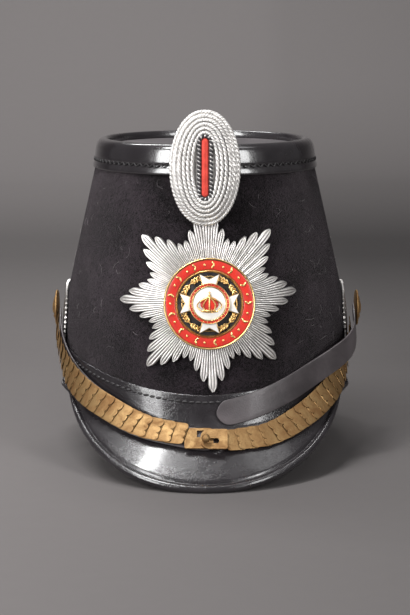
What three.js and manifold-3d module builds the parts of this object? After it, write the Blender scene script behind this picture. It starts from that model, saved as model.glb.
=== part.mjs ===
// A tall felt shako with leather crown band and peaks, an oval field badge, a silver ray star
// with an enamelled centre, side cockades and brass chin scales fastened over the front peak.
// Millimetres, +Z up, the front faces -Y. The hat stands on the edges of its two peaks, z = 0.
import * as THREE from 'three';
import { mergeVertices } from 'three/addons/utils/BufferGeometryUtils.js';
import Module from 'manifold-3d';

const wasm = await Module();
wasm.setup();

// Felt body: an ellipse in plan that tapers upwards.
const TOP_Z = 178;                 // upper end of the felt, hidden in the crown band
const BAND_Z = 168;                // lower edge of the crown band
const BAND_HALF_WIDTH = 66.7;      // felt half width at BAND_Z
const BAND_HALF_LENGTH = 72.6;     // felt half length at BAND_Z
const SIDE_TAPER = 0.2325;         // growth of the half width for each mm downwards
const FRONT_TAPER = 0.205;         // growth of the half length for each mm downwards
const FLARE_END_Z = 100;           // the sides begin to turn upright here
const UPRIGHT_Z = 65;              // and are upright from here down
const FOOT_Z = 30;                 // the front and rear stop growing outwards here
const FELT_WALL = 3;
const EDGE_SIDE_Z = 43;            // lower edge of the body at the sides
const EDGE_FRONT_DROP = 14.5;      // how much lower it is at the front
const EDGE_REAR_DROP = 16;

// Leather over the felt.
const GAP = 0.35;                  // clearance between touching pieces
const FLANGE = 1.5;                // thickness of the sewn flange of a peak
const CREST_Z = 185.7;             // highest line of the rolled crown edge
const DISC_TOP_Z = 181;            // recessed leather top
const PEAK_SLOPE = THREE.MathUtils.degToRad(43);

// Chin scales.
const SCALE_COUNT = 15;            // on each side
const SCALE_WIDTH = 14;
const SCALE_LENGTH = 12.6;
const SCALE_THICK = 0.7;
const SCALE_RISE = 1.85;           // the free edge stands this much over the root
const STRAP_THICK = 1;
const ROSETTE_Z = 80;
const ROSETTE_RADIUS = 11;
const COCKADE_Z = 74.5;
const COCKADE_RADIUS = 22.8;

// Star and its enamelled centre.
const STAR_Z = 99.7;
const STAR_SHIFT = 2.4;            // to the wearer's left of the middle
const STAR_ROLL = THREE.MathUtils.degToRad(2.5);
const STAR_RADIUS = 52;
const STAR_POINTS = 8;
const RAYS_PER_POINT = 7;
const STAR_HOLE = 20;
const ENAMEL_DROP = 2;             // the enamelled centre sits this much below the star's middle
const RIM_RADIUS = 25.7;
const RING_RADIUS = 18.5;
const WREATH_RADIUS = 15.3;
const CROSS_RADIUS = 16.4;
const MEDALLION_RADIUS = 11.4;

// Field badge.
const BADGE_HALF_WIDTH = 20;
const BADGE_HALF_HEIGHT = 32.3;
const BADGE_THICK = 7;
const BADGE_Z = 173;
const BADGE_BACK_Y = -78.6;        // back of the badge at its middle height
const BADGE_TILT = THREE.MathUtils.degToRad(6.5);

// Half width and half length of the felt's outer face at a height.
function halfWidth(z) {
  const straight = BAND_HALF_WIDTH + SIDE_TAPER * (BAND_Z - z);
  if (z >= FLARE_END_Z) return straight;
  const turn = FLARE_END_Z - UPRIGHT_Z;
  const below = Math.min(FLARE_END_Z - z, turn);
  const atFlareEnd = BAND_HALF_WIDTH + SIDE_TAPER * (BAND_Z - FLARE_END_Z);
  return atFlareEnd + SIDE_TAPER * (below - below * below / (2 * turn));
}

function halfLength(z) {
  return BAND_HALF_LENGTH + FRONT_TAPER * (BAND_Z - Math.max(z, FOOT_Z));
}

// Height of the body's lower edge; angle 0 is the front and grows towards +X.
function lowerEdge(angle) {
  const drop = Math.cos(angle) > 0 ? EDGE_FRONT_DROP : EDGE_REAR_DROP;
  return EDGE_SIDE_Z - drop * Math.cos(angle) ** 2;
}

// Level outward direction of the body at an angle.
function outward(angle, z) {
  const across = Math.sin(angle) / halfWidth(z);
  const along = -Math.cos(angle) / halfLength(z);
  return new THREE.Vector3(across, along, 0).normalize();
}

// The point at an angle, a height and an offset from the felt's outer face.
function wrapPoint(angle, z, offset) {
  const foot = new THREE.Vector3(halfWidth(z) * Math.sin(angle), -halfLength(z) * Math.cos(angle), z);
  return foot.addScaledVector(outward(angle, z), offset);
}

// Direction square to the felt's outer face.
function bodyNormal(angle, z) {
  const around = wrapPoint(angle + 0.01, z, 0).sub(wrapPoint(angle - 0.01, z, 0));
  const up = wrapPoint(angle, z + 1, 0).sub(wrapPoint(angle, z - 1, 0));
  return around.cross(up).normalize();
}

// A closed geometry from vertices and triangles, turned so that its faces point out.
function closedGeometry(points, triangles) {
  let volume = 0;
  for (const [i, j, k] of triangles) volume += points[i].dot(points[j].clone().cross(points[k]));
  const faces = volume > 0 ? triangles : triangles.map(([i, j, k]) => [i, k, j]);
  const geometry = new THREE.BufferGeometry();
  geometry.setAttribute('position', new THREE.Float32BufferAttribute(points.flatMap((p) => p.toArray()), 3));
  geometry.setIndex(faces.flat());
  geometry.computeVertexNormals();
  return geometry;
}

// Joins equal rings of points into one skin. A ring that closes on the first one has no caps;
// otherwise the two ends are capped with the triangles of the flat outline `cap`.
function loft(rings, cap = null) {
  const size = rings[0].length;
  const points = rings.flat();
  const triangles = [];
  const spans = cap ? rings.length - 1 : rings.length;
  for (let i = 0; i < spans; i += 1) {
    const here = i * size;
    const next = ((i + 1) % rings.length) * size;
    for (let j = 0; j < size; j += 1) {
      const k = (j + 1) % size;
      triangles.push([here + j, here + k, next + k]);
      triangles.push([here + j, next + k, next + j]);
    }
  }
  if (cap) {
    const last = (rings.length - 1) * size;
    const sense = THREE.ShapeUtils.area(cap);
    for (const [i, j, k] of THREE.ShapeUtils.triangulateShape(cap, [])) {
      const [p, q] = THREE.ShapeUtils.area([cap[i], cap[j], cap[k]]) * sense > 0 ? [j, k] : [k, j];
      triangles.push([i, q, p]);
      triangles.push([last + i, last + p, last + q]);
    }
  }
  return closedGeometry(points, triangles);
}

// A piece that runs around the body. section(angle) gives [offset, z] corners.
function wrapAround(section, start, end, steps) {
  const whole = end - start > 2 * Math.PI - 1e-6;
  const count = whole ? steps : steps + 1;
  const rings = [];
  for (let i = 0; i < count; i += 1) {
    const angle = start + (end - start) * i / steps;
    rings.push(section(angle).map(([offset, z]) => wrapPoint(angle, z, offset)));
  }
  const cap = whole ? null : section(start).map(([offset, z]) => new THREE.Vector2(offset, z));
  return loft(rings, cap);
}

// Lays a flat piece on the body: u runs around, v runs up and h stands off the felt.
function drape(u, v, h, angle, z) {
  const height = z + v * 0.98;
  const reach = (halfWidth(height) + halfLength(height)) / 2;
  return wrapPoint(angle + u / reach, height, h);
}

// Solid modelling with manifold-3d.
function toSolid(geometry) {
  const bare = geometry.clone();
  bare.deleteAttribute('normal');
  bare.deleteAttribute('uv');
  const merged = mergeVertices(bare, 1e-4);
  return new wasm.Manifold(new wasm.Mesh({
    numProp: 3,
    vertProperties: new Float32Array(merged.attributes.position.array),
    triVerts: new Uint32Array(merged.index.array),
  }));
}

function toGeometry(solid) {
  const mesh = solid.getMesh();
  const geometry = new THREE.BufferGeometry();
  geometry.setAttribute('position', new THREE.Float32BufferAttribute(mesh.vertProperties, 3));
  geometry.setIndex(Array.from(mesh.triVerts));
  geometry.computeVertexNormals();
  return geometry;
}

function finish(color, roughness, metalness) {
  return new THREE.MeshStandardMaterial({ color, roughness, metalness });
}

const felt = finish(0x262123, 0.95, 0);
const leather = finish(0x2a2629, 0.35, 0);
const strapLeather = finish(0x3b3637, 0.5, 0);
const brass = finish(0xa6794f, 0.35, 1);
const silver = finish(0xb6b1ad, 0.4, 1);
const gilt = finish(0xc89a4a, 0.3, 1);
const redEnamel = finish(0xc8302c, 0.25, 0);
const blackEnamel = finish(0x141214, 0.25, 0);
const whiteEnamel = finish(0xeae6e0, 0.25, 0);
const silverWire = finish(0xcfcbc6, 0.5, 0.8);
const redThread = finish(0xd8342c, 0.8, 0);
const twistedCord = finish(0x3a3636, 0.7, 0.3);

const hat = new THREE.Group();

function add(name, geometry, material, parent = hat) {
  const mesh = new THREE.Mesh(geometry, material);
  mesh.name = name;
  parent.add(mesh);
  return mesh;
}

// ---- Felt body, crown band and top ----

function feltSection(angle) {
  const edge = lowerEdge(angle);
  const heights = [edge, UPRIGHT_Z, 82, FLARE_END_Z, TOP_Z];
  const outside = heights.map((z) => [0, z]);
  const inside = heights.map((z) => [-FELT_WALL, z]).reverse();
  return [...outside, ...inside];
}

function bandSection() {
  const inner = GAP;
  const outer = GAP + 1.2;
  return [
    [inner, BAND_Z],
    [outer, BAND_Z],
    [outer + 0.3, 176],
    [outer + 0.9, 181.5],
    [outer + 0.1, 184.6],
    [-1.2, CREST_Z],
    [-3.2, 184.9],
    [-4.4, 182.4],
    [-4.4, TOP_Z + GAP],
    [inner, TOP_Z + GAP],
  ];
}

function discGeometry() {
  const clear = 4.4 + GAP;
  const section = () => [
    [-40, DISC_TOP_Z - 2],
    [-clear, DISC_TOP_Z - 2],
    [-clear, DISC_TOP_Z - 0.6],
    [-clear - 0.8, DISC_TOP_Z],
    [-40, DISC_TOP_Z],
  ];
  const steps = 48;
  const rings = [];
  for (let i = 0; i < steps; i += 1) {
    const angle = 2 * Math.PI * i / steps;
    rings.push(section().map(([offset, z]) => wrapPoint(angle, z, offset)));
  }
  // The ring is closed over its middle by a fan at each face.
  const size = 5;
  const points = rings.flat();
  const triangles = [];
  for (let i = 0; i < steps; i += 1) {
    const here = i * size;
    const next = ((i + 1) % steps) * size;
    for (let j = 0; j < size - 1; j += 1) {
      triangles.push([here + j, here + j + 1, next + j + 1]);
      triangles.push([here + j, next + j + 1, next + j]);
    }
  }
  const low = points.push(new THREE.Vector3(0, 0, DISC_TOP_Z - 2)) - 1;
  const high = points.push(new THREE.Vector3(0, 0, DISC_TOP_Z)) - 1;
  for (let i = 0; i < steps; i += 1) {
    const here = i * size;
    const next = ((i + 1) % steps) * size;
    triangles.push([low, here, next]);
    triangles.push([high, next + size - 1, here + size - 1]);
  }
  return closedGeometry(points, triangles);
}

add('felt_body', wrapAround(feltSection, 0, 2 * Math.PI, 60), felt);
add('crown_band', wrapAround(bandSection, 0, 2 * Math.PI, 60), leather);
add('crown_disc', discGeometry(), leather);

// ---- Peaks: a sewn flange, a sloping leaf, a groove and a rolled edge ----

function peakSection(angle, reach, spread, flange, slope) {
  const edge = lowerEdge(angle);
  const turn = Math.min(1, Math.abs(angle) / spread);
  const width = reach * Math.max(0, Math.cos(turn * Math.PI / 2)) ** 1.4;
  const length = Math.max(width / Math.cos(slope), 5);
  const bead = Math.min(1, length / 14);
  const face = GAP + FLANGE;
  const point = (along, over) => [
    face + along * Math.cos(slope) + over * Math.sin(slope),
    Math.max(0, edge + 1.2 - along * Math.sin(slope) + over * Math.cos(slope)),
  ];
  return [
    [GAP, edge - 1.4],
    [GAP, edge + flange],
    [face - 0.3, edge + flange],
    [face, edge + flange - 0.5],
    point(0, 0),
    point(length - 6.6 * bead, 0),
    point(length - 5.6 * bead, -0.7 * bead),
    point(length - 4.6 * bead, 0.6 * bead),
    point(length - 2.6 * bead, 1.4 * bead),
    point(length - 0.5 * bead, 0.2 * bead),
    point(length, -1.8 * bead),
    point(length - 1.6 * bead, -3.4 * bead),
    point(length - 5.4 * bead, -2.6 * bead),
  ];
}

const FRONT_REACH = 31;
const FRONT_SPREAD = THREE.MathUtils.degToRad(71);
const REAR_REACH = 24;
const REAR_SPREAD = THREE.MathUtils.degToRad(60);
const REAR_SLOPE = THREE.MathUtils.degToRad(49.5);

function frontPeak(angle) {
  const flange = 18.5 + 2 * Math.abs(angle) / FRONT_SPREAD;
  return peakSection(angle, FRONT_REACH, FRONT_SPREAD, flange, PEAK_SLOPE);
}

function rearPeak(angle) {
  const back = angle - Math.PI;
  const section = peakSection(back, REAR_REACH, REAR_SPREAD, 16, REAR_SLOPE);
  const lift = lowerEdge(angle) - lowerEdge(back);
  return section.map(([offset, z]) => [offset, Math.max(0, z + lift)]);
}

add('front_peak', wrapAround(frontPeak, -FRONT_SPREAD, FRONT_SPREAD, 44), leather);
add('rear_peak', wrapAround(rearPeak, Math.PI - REAR_SPREAD, Math.PI + REAR_SPREAD, 32), leather);

// ---- Routes of the chin scales and straps ----

// Height of a route's middle line at angles from the front, smoothed between the given places.
function heightAt(route, angle) {
  const places = route.map(([degrees]) => THREE.MathUtils.degToRad(degrees));
  let i = 0;
  while (i < places.length - 2 && angle > places[i + 1]) i += 1;
  const t = (angle - places[i]) / (places[i + 1] - places[i]);
  const p0 = route[Math.max(i - 1, 0)][1];
  const p3 = route[Math.min(i + 2, route.length - 1)][1];
  const p1 = route[i][1];
  const p2 = route[i + 1][1];
  const bend = (2 * p0 - 5 * p1 + 4 * p2 - p3) * t * t + (3 * (p1 - p2) + p3 - p0) * t * t * t;
  return 0.5 * (2 * p1 + (p2 - p0) * t + bend);
}

// A strip this wide lies in the corner between a flange and its peak: it leans back with the
// peak at the front and turns upright as it climbs the flange, and it stands off the felt so
// that neither long edge touches the leather.
function bed(angle, z) {
  const half = SCALE_WIDTH / 2;
  const face = GAP + FLANGE;
  const above = z - lowerEdge(angle);
  const lean = (Math.PI / 2 - PEAK_SLOPE) * (1 - THREE.MathUtils.smoothstep(above, -4.5, 18));
  const onFlange = face + GAP + 0.2 + half * Math.sin(lean);
  const drop = 2.3 - above + half * Math.cos(lean);
  const onPeak = face + drop / Math.tan(PEAK_SLOPE) - half * Math.sin(lean);
  const offset = (onFlange + onPeak + Math.hypot(onFlange - onPeak, 2)) / 2;
  return { lean, offset };
}

// Place and directions on a route: `along` points to the middle of the front.
function station(route, side, angle, lift) {
  const place = (a) => {
    const z = heightAt(route, a);
    const { lean, offset } = bed(a, z);
    const level = outward(side * a, z);
    const normal = level.multiplyScalar(Math.cos(lean)).add(new THREE.Vector3(0, 0, Math.sin(lean)));
    return { point: wrapPoint(side * a, z, offset).addScaledVector(normal, lift), normal };
  };
  const { point, normal } = place(angle);
  const step = 0.01;
  const along = place(angle - step).point.sub(place(angle + step).point).normalize();
  const across = new THREE.Vector3().crossVectors(normal, along).normalize();
  const out = new THREE.Vector3().crossVectors(along, across).normalize();
  return { point, along, across, out };
}

// Angles that divide a route into equal lengths, counted from the rosette to the front.
function equalSteps(route, side, lift, start, end, count) {
  const fine = 400;
  const lengths = [0];
  let last = station(route, side, start, lift).point;
  for (let i = 1; i <= fine; i += 1) {
    const point = station(route, side, start + (end - start) * i / fine, lift).point;
    lengths.push(lengths[i - 1] + point.distanceTo(last));
    last = point;
  }
  const angles = [];
  for (let n = 0; n <= count; n += 1) {
    const want = lengths[fine] * n / count;
    const i = lengths.findIndex((length) => length >= want - 1e-9);
    angles.push(start + (end - start) * i / fine);
  }
  return angles;
}

const LEFT_ROUTE = [[0, 24], [10, 26.3], [23, 30], [36, 36.5], [47, 42], [60, 50], [72, 59], [82, 69], [90, 80]];
const RIGHT_ROUTE = [[0, 24], [10, 24], [23, 26], [36, 32.5], [47, 39.5], [60, 48.5], [72, 58], [82, 69], [90, 80]];
const CHAIN_START = THREE.MathUtils.degToRad(85);
const CHAIN_END = THREE.MathUtils.degToRad(11);

// One scale: a plate with a straight root and a free edge of one large and two small lobes.
function scaleGeometry(side) {
  const half = SCALE_WIDTH / 2;
  const big = 3;
  const small = 2;
  const edge = SCALE_LENGTH - big;
  const shape = new THREE.Shape();
  shape.moveTo(0, -side * (half - 0.6));
  shape.lineTo(edge - 1, -side * half);
  const lobe = (centre, radius) => {
    for (let i = 0; i <= 4; i += 1) {
      const turn = Math.PI * (i / 4 - 0.5);
      shape.lineTo(edge + radius * Math.cos(turn) * 0.95, side * (centre + radius * Math.sin(turn) * 0.98));
    }
  };
  lobe(-half + small, small);
  lobe(-half + 3 * small, small);
  lobe(half - big, big);
  shape.lineTo(edge - 1, side * half);
  shape.lineTo(0, side * (half - 0.6));
  return new THREE.ExtrudeGeometry(shape, { depth: SCALE_THICK, bevelEnabled: false, steps: 1 });
}

function placeOn(mesh, spot) {
  const basis = new THREE.Matrix4().makeBasis(spot.along, spot.across, spot.out);
  mesh.quaternion.setFromRotationMatrix(basis);
  mesh.position.copy(spot.point);
}

function addScales(side, route, lift, word) {
  const angles = equalSteps(route, side, lift, CHAIN_START, CHAIN_END, SCALE_COUNT);
  for (let n = 0; n < SCALE_COUNT; n += 1) {
    const spot = station(route, side, angles[n], lift);
    const mesh = add(`scale_${word}_${String(n + 1).padStart(2, '0')}`, scaleGeometry(-side), brass);
    placeOn(mesh, spot);
    mesh.rotateY(-Math.atan2(SCALE_RISE, SCALE_LENGTH));
  }
}

addScales(-1, LEFT_ROUTE, STRAP_THICK + GAP, 'left');
addScales(1, RIGHT_ROUTE, 0, 'right');

// A flat strap: a loft of rectangles with a rounded tip.
function strapGeometry(spots, width, thickness, tip) {
  const half = width / 2;
  const rings = spots.map((spot, i) => {
    const left = spots[spots.length - 1].point.distanceTo(spot.point);
    const inset = Math.max(0, tip - left);
    const reach = half - (tip - Math.sqrt(Math.max(tip * tip - inset * inset, 0.04 * tip * tip)));
    const corner = (across, over) => spot.point.clone()
      .addScaledVector(spot.across, across)
      .addScaledVector(spot.out, over);
    const w = i === 0 ? half : reach;
    return [corner(-w, 0), corner(w, 0), corner(w, thickness), corner(-w, thickness)];
  });
  const cap = [[-half, 0], [half, 0], [half, thickness], [-half, thickness]];
  return loft(rings, cap.map(([x, y]) => new THREE.Vector2(x, y)));
}

function leftStrapSpots() {
  const start = THREE.MathUtils.degToRad(87);
  const end = THREE.MathUtils.degToRad(-4.2);
  const spots = [];
  for (let i = 0; i <= 40; i += 1) {
    const angle = start + (end - start) * i / 40;
    const eased = Math.abs(angle);
    const spot = station(LEFT_ROUTE, angle < 0 ? 1 : -1, eased, 0);
    if (angle < 0) {
      spot.along.negate();
      spot.across.negate();
    }
    spots.push(spot);
  }
  return spots;
}

add('strap_left', strapGeometry(leftStrapSpots(), SCALE_WIDTH, STRAP_THICK, 3), strapLeather);

// The right strap has come away from its scales: it hangs over them from the rosette and then
// lies along the flange above them. Each place is [angle, height, offset from the felt].
const RIGHT_STRAP = [
  [88, 79, 5.1], [84, 74.8, 5.4], [78, 70.2, 6.2], [70, 66.4, 7.4], [62, 63.6, 8], [54, 60.2, 6.8],
  [44, 53.8, 2.8], [32, 47.4, 2.4], [20, 41.6, 2.4], [10, 38, 2.4], [4, 36.8, 2.4],
];

function rightStrapSpots() {
  const points = RIGHT_STRAP.map(([degrees, z, offset]) => {
    return wrapPoint(THREE.MathUtils.degToRad(degrees), z, offset);
  });
  const curve = new THREE.CatmullRomCurve3(points, false, 'centripetal');
  const spots = [];
  for (let i = 0; i <= 44; i += 1) {
    const point = curve.getPointAt(i / 44);
    const along = curve.getTangentAt(i / 44);
    const angle = Math.atan2(point.x / halfWidth(point.z), -point.y / halfLength(point.z));
    const across = new THREE.Vector3().crossVectors(bodyNormal(angle, point.z), along).normalize();
    const out = new THREE.Vector3().crossVectors(along, across).normalize();
    spots.push({ point, along, across, out });
  }
  return spots;
}

add('strap_right', strapGeometry(rightStrapSpots(), SCALE_WIDTH + 0.5, 1.2, 7), strapLeather);

// ---- Clasp: the left plate carries a ball stud, the right plate has its keyhole ----

const clasp = new THREE.Group();
const middle = station(RIGHT_ROUTE, 1, 0.001, 0);
clasp.position.copy(middle.point);
const slopeUp = middle.across.clone().negate();
clasp.quaternion.setFromRotationMatrix(
  new THREE.Matrix4().makeBasis(new THREE.Vector3(1, 0, 0), slopeUp, middle.out),
);
hat.add(clasp);

const STUD_X = 0.4;
const STUD_Y = -2.4;
const PLATE_LOW = STRAP_THICK + 2 * GAP;

function roundedPlate(left, right, half, leftRadius, rightRadius) {
  const shape = new THREE.Shape();
  shape.moveTo(left + leftRadius, -half);
  shape.lineTo(right - rightRadius, -half);
  shape.absarc(right - rightRadius, -half + rightRadius, rightRadius, -Math.PI / 2, 0, false);
  shape.absarc(right - rightRadius, half - rightRadius, rightRadius, 0, Math.PI / 2, false);
  shape.lineTo(left + leftRadius, half);
  shape.absarc(left + leftRadius, half - leftRadius, leftRadius, Math.PI / 2, Math.PI, false);
  shape.absarc(left + leftRadius, -half + leftRadius, leftRadius, Math.PI, 1.5 * Math.PI, false);
  return shape;
}

function claspButton() {
  const shape = roundedPlate(-11.5, 4.6, 6.6, 1, 2.5);
  const window = new THREE.Path();
  window.moveTo(-4.6, 0.6);
  window.lineTo(-1.4, 0.6);
  window.lineTo(-0.6, 5);
  window.lineTo(-4.6, 5);
  window.closePath();
  shape.holes.push(window);
  const plate = new THREE.ExtrudeGeometry(shape, { depth: 0.9, bevelEnabled: false, curveSegments: 4 });
  const profile = [[0, 0.4], [1.1, 0.4], [1.1, 2.6], [2.1, 3.3], [2.5, 4.5], [2.1, 5.8], [1.1, 6.6], [0, 6.8]];
  const stud = new THREE.LatheGeometry(profile.map(([r, h]) => new THREE.Vector2(r, h)), 14);
  stud.rotateX(Math.PI / 2);
  stud.translate(STUD_X, STUD_Y, 0);
  return toGeometry(toSolid(plate).add(toSolid(stud)));
}

function claspEye() {
  const shape = roundedPlate(-2.6, 12.4, 6.4, 5.2, 1);
  const keyhole = new THREE.Path();
  keyhole.absarc(STUD_X, STUD_Y + 1.2, 1.5, Math.PI / 2, 1.5 * Math.PI, false);
  keyhole.absarc(5.4, STUD_Y + 1.2, 2.4, 1.75 * Math.PI, 0.25 * Math.PI, false);
  shape.holes.push(keyhole);
  return new THREE.ExtrudeGeometry(shape, { depth: 0.9, bevelEnabled: false, curveSegments: 5 });
}

add('clasp_button', claspButton(), brass, clasp).position.z = PLATE_LOW;
const eye = add('clasp_eye', claspEye(), brass, clasp);
eye.position.set(0, -1.2, PLATE_LOW + 0.9 + GAP);

// ---- Cockades and rosettes ----

// A ring or disc laid on the side of the body. outline(turn) gives the outer radius.
function drapedRing(side, columns, inner, outline, low, high) {
  const rings = [];
  for (let i = 0; i < columns; i += 1) {
    const turn = 2 * Math.PI * i / columns;
    const outer = outline(i);
    const mid = (inner + outer) / 2;
    const at = (r, h) => drape(r * Math.cos(turn), r * Math.sin(turn), h, side * Math.PI / 2, COCKADE_Z);
    rings.push([at(inner, low), at(mid, low), at(outer, low), at(outer, high), at(inner, high)]);
  }
  return loft(rings);
}

function rosetteGeometry() {
  const profile = [
    [0, 0], [ROSETTE_RADIUS - 0.4, 0], [ROSETTE_RADIUS, 0.6], [ROSETTE_RADIUS - 1.2, 1.4],
    [ROSETTE_RADIUS - 2.6, 1], [6.2, 2.3], [3.4, 3.2], [0, 3.5],
  ];
  return new THREE.LatheGeometry(profile.map(([r, h]) => new THREE.Vector2(r, h)), 28);
}

for (const [word, side] of [['left', -1], ['right', 1]]) {
  const serrated = (i) => COCKADE_RADIUS - (i % 2 ? 1.1 : 0);
  add(`cockade_${word}`, drapedRing(side, 64, 13.2, serrated, 0.4, 1.5), blackEnamel);
  add(`cockade_ring_${word}`, drapedRing(side, 32, 6, () => 12.8, 0.4, 1.5), silver);
  const rosette = add(`rosette_${word}`, rosetteGeometry(), brass);
  rosette.position.copy(wrapPoint(side * Math.PI / 2, ROSETTE_Z, side > 0 ? 7.3 : 5.1));
  rosette.rotation.z = -side * Math.PI / 2;
}

// ---- Star plate: rays laid on the curve of the body ----

function rayLength(ray) {
  const near = Math.min(ray % RAYS_PER_POINT, RAYS_PER_POINT - ray % RAYS_PER_POINT);
  return STAR_RADIUS * (1 - 0.125 * near + 0.007 * near * near);
}

function starGeometry() {
  const rays = STAR_POINTS * RAYS_PER_POINT;
  const rings = [];
  for (let i = 0; i < 2 * rays; i += 1) {
    const ray = Math.floor(i / 2);
    const ridge = i % 2 === 0;
    const valley = Math.min(rayLength(ray), rayLength((ray + 1) % rays)) - 2.5;
    const outer = ridge ? rayLength(ray) : valley;
    const turn = STAR_ROLL + Math.PI / 2 + Math.PI * i / rays;
    const at = (f, h) => {
      const r = STAR_HOLE + (outer - STAR_HOLE) * f;
      return drape(STAR_SHIFT + r * Math.cos(turn), r * Math.sin(turn), h, 0, STAR_Z);
    };
    const crest = ridge ? 1 : 0;
    rings.push([
      at(0, 0.7), at(0.35, 0.7), at(0.7, 0.7), at(1, 0.7),
      at(1, 1.5), at(0.7, 1.8 + 0.9 * crest), at(0.35, 1.8 + 1.1 * crest), at(0, 1.9 + crest),
    ]);
  }
  return loft(rings);
}

add('star_plate', starGeometry(), silver);

// ---- Enamelled centre: built flat with its face on +Z, then set on the front of the body ----

const centre = new THREE.Group();
const centreZ = STAR_Z - ENAMEL_DROP;
const centreAngle = STAR_SHIFT / ((halfWidth(centreZ) + halfLength(centreZ)) / 2);
const frontLean = Math.atan(FRONT_TAPER);
centre.position.copy(wrapPoint(centreAngle, centreZ, 3.6));
centre.rotation.set(Math.PI / 2 - frontLean, 0, 0);
hat.add(centre);
const ROUND = 32;

function turned(profile, segments) {
  const geometry = new THREE.LatheGeometry(profile.map(([r, h]) => new THREE.Vector2(r, h)), segments);
  geometry.rotateX(Math.PI / 2);
  return geometry;
}

// The gilt dish: a floor, an outer rim and an inner rim. Its back follows the body's curve.
function baseGeometry() {
  const profile = [
    [0, 0], [13, 0], [20.5, 0], [RIM_RADIUS, 0], [RIM_RADIUS, 3], [RIM_RADIUS - 0.4, 3.4],
    [RIM_RADIUS - 0.8, 3], [RIM_RADIUS - 0.8, 1.5], [RING_RADIUS + 0.4, 1.5], [RING_RADIUS + 0.4, 3],
    [RING_RADIUS, 3.4], [RING_RADIUS - 0.4, 3], [RING_RADIUS - 0.4, 1.5], [0, 1.5],
  ];
  const geometry = turned(profile, ROUND);
  const spots = geometry.attributes.position;
  const reach = (halfWidth(centreZ) + halfLength(centreZ)) / 2;
  for (let i = 0; i < spots.count; i += 1) {
    if (spots.getZ(i) < 0.01) spots.setZ(i, -0.85 * spots.getX(i) ** 2 / (2 * reach));
  }
  return geometry;
}

function flatRing(inner, outer, low, high) {
  return turned([[inner, low], [outer, low], [outer, high], [inner, high], [inner, low]], ROUND);
}

// Four arms that widen outwards and end in a V notch.
function crossGeometry(low, high) {
  const shape = new THREE.Shape();
  for (let arm = 0; arm < 4; arm += 1) {
    const turn = arm * Math.PI / 2 + Math.PI / 4;
    const out = (along, across) => [
      along * Math.cos(turn) - across * Math.sin(turn),
      along * Math.sin(turn) + across * Math.cos(turn),
    ];
    const corners = [out(5.4, -3.5), out(CROSS_RADIUS, -5.4), out(CROSS_RADIUS - 2.6, 0), out(CROSS_RADIUS, 5.4)];
    for (const [x, y] of corners) {
      if (arm === 0 && x === corners[0][0]) shape.moveTo(x, y);
      else shape.lineTo(x, y);
    }
    shape.lineTo(...out(5.4, 3.5));
  }
  const geometry = new THREE.ExtrudeGeometry(shape, { depth: high - low, bevelEnabled: false });
  geometry.rotateZ(-Math.PI / 4);
  geometry.translate(0, 0, low);
  return geometry;
}

// A small closed crown: a band with five rising points, drawn as one outline.
function crownGeometry(low, high) {
  const shape = new THREE.Shape();
  shape.moveTo(-5, -5.4);
  shape.lineTo(5, -5.4);
  shape.lineTo(5, -3);
  shape.quadraticCurveTo(8.4, 1.6, 4, 3);
  shape.quadraticCurveTo(1.6, 3.4, 1, 4.2);
  shape.lineTo(0, 5.8);
  shape.lineTo(-1, 4.2);
  shape.quadraticCurveTo(-1.6, 3.4, -4, 3);
  shape.quadraticCurveTo(-8.4, 1.6, -5, -3);
  const geometry = new THREE.ExtrudeGeometry(shape, { depth: high - low, bevelEnabled: false, curveSegments: 5 });
  geometry.translate(0, 0, low);
  return geometry;
}

add('star_base', baseGeometry(), gilt, centre);
add('red_ring', flatRing(RING_RADIUS + 0.8, RIM_RADIUS - 1.2, 1.85, 2.9), redEnamel, centre);
add('black_field', turned([[0, 1.85], [17.7, 1.85], [17.7, 2.4], [0, 2.4]], ROUND), blackEnamel, centre);
add('wreath', flatRing(WREATH_RADIUS - 1.4, WREATH_RADIUS + 1.4, 2.75, 3.6), gilt, centre);
add('cross', crossGeometry(3.95, 4.8), whiteEnamel, centre);
add('medallion_ring', flatRing(9.5, MEDALLION_RADIUS, 5.15, 6.1), redEnamel, centre);
add('medallion', turned([[0, 5.15], [9.1, 5.15], [9.1, 5.6], [0, 5.9]], ROUND), whiteEnamel, centre);
add('crown_relief', crownGeometry(6.3, 7.1), gilt, centre);

// ---- Field badge: an oval of wound wire with a cord and a core in its middle ----

const badge = new THREE.Group();
badge.position.set(0, BADGE_BACK_Y, BADGE_Z);
badge.rotation.set(Math.PI / 2 - BADGE_TILT, 0, 0);
hat.add(badge);
const SLOT_HALF_WIDTH = 4.4;
const SLOT_HALF_HEIGHT = 19;

function stadium(halfAcross, halfUp) {
  const shape = new THREE.Shape();
  shape.absarc(0, halfUp - halfAcross, halfAcross, 0, Math.PI, false);
  shape.absarc(0, -halfUp + halfAcross, halfAcross, Math.PI, 2 * Math.PI, false);
  return shape;
}

function badgeBody() {
  const profile = [[0, 0], [0.86, 0], [0.97, 1.2], [1, 2.6], [0.95, 4.3], [0.8, 5.8], [0.5, 6.8], [0, 7]];
  const body = turned(profile.map(([r, h]) => [r, h * BADGE_THICK / 7]), 32);
  const spots = body.attributes.position;
  for (let i = 0; i < spots.count; i += 1) {
    const square = (value) => Math.sign(value) * Math.abs(value) ** 0.93;
    spots.setXY(i, BADGE_HALF_WIDTH * square(spots.getX(i)), BADGE_HALF_HEIGHT * spots.getY(i));
  }
  const slot = new THREE.ExtrudeGeometry(stadium(SLOT_HALF_WIDTH, SLOT_HALF_HEIGHT), {
    depth: BADGE_THICK, bevelEnabled: false, curveSegments: 8,
  });
  slot.translate(0, 0, BADGE_THICK - 2.6);
  return toGeometry(toSolid(body).subtract(toSolid(slot)));
}

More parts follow.
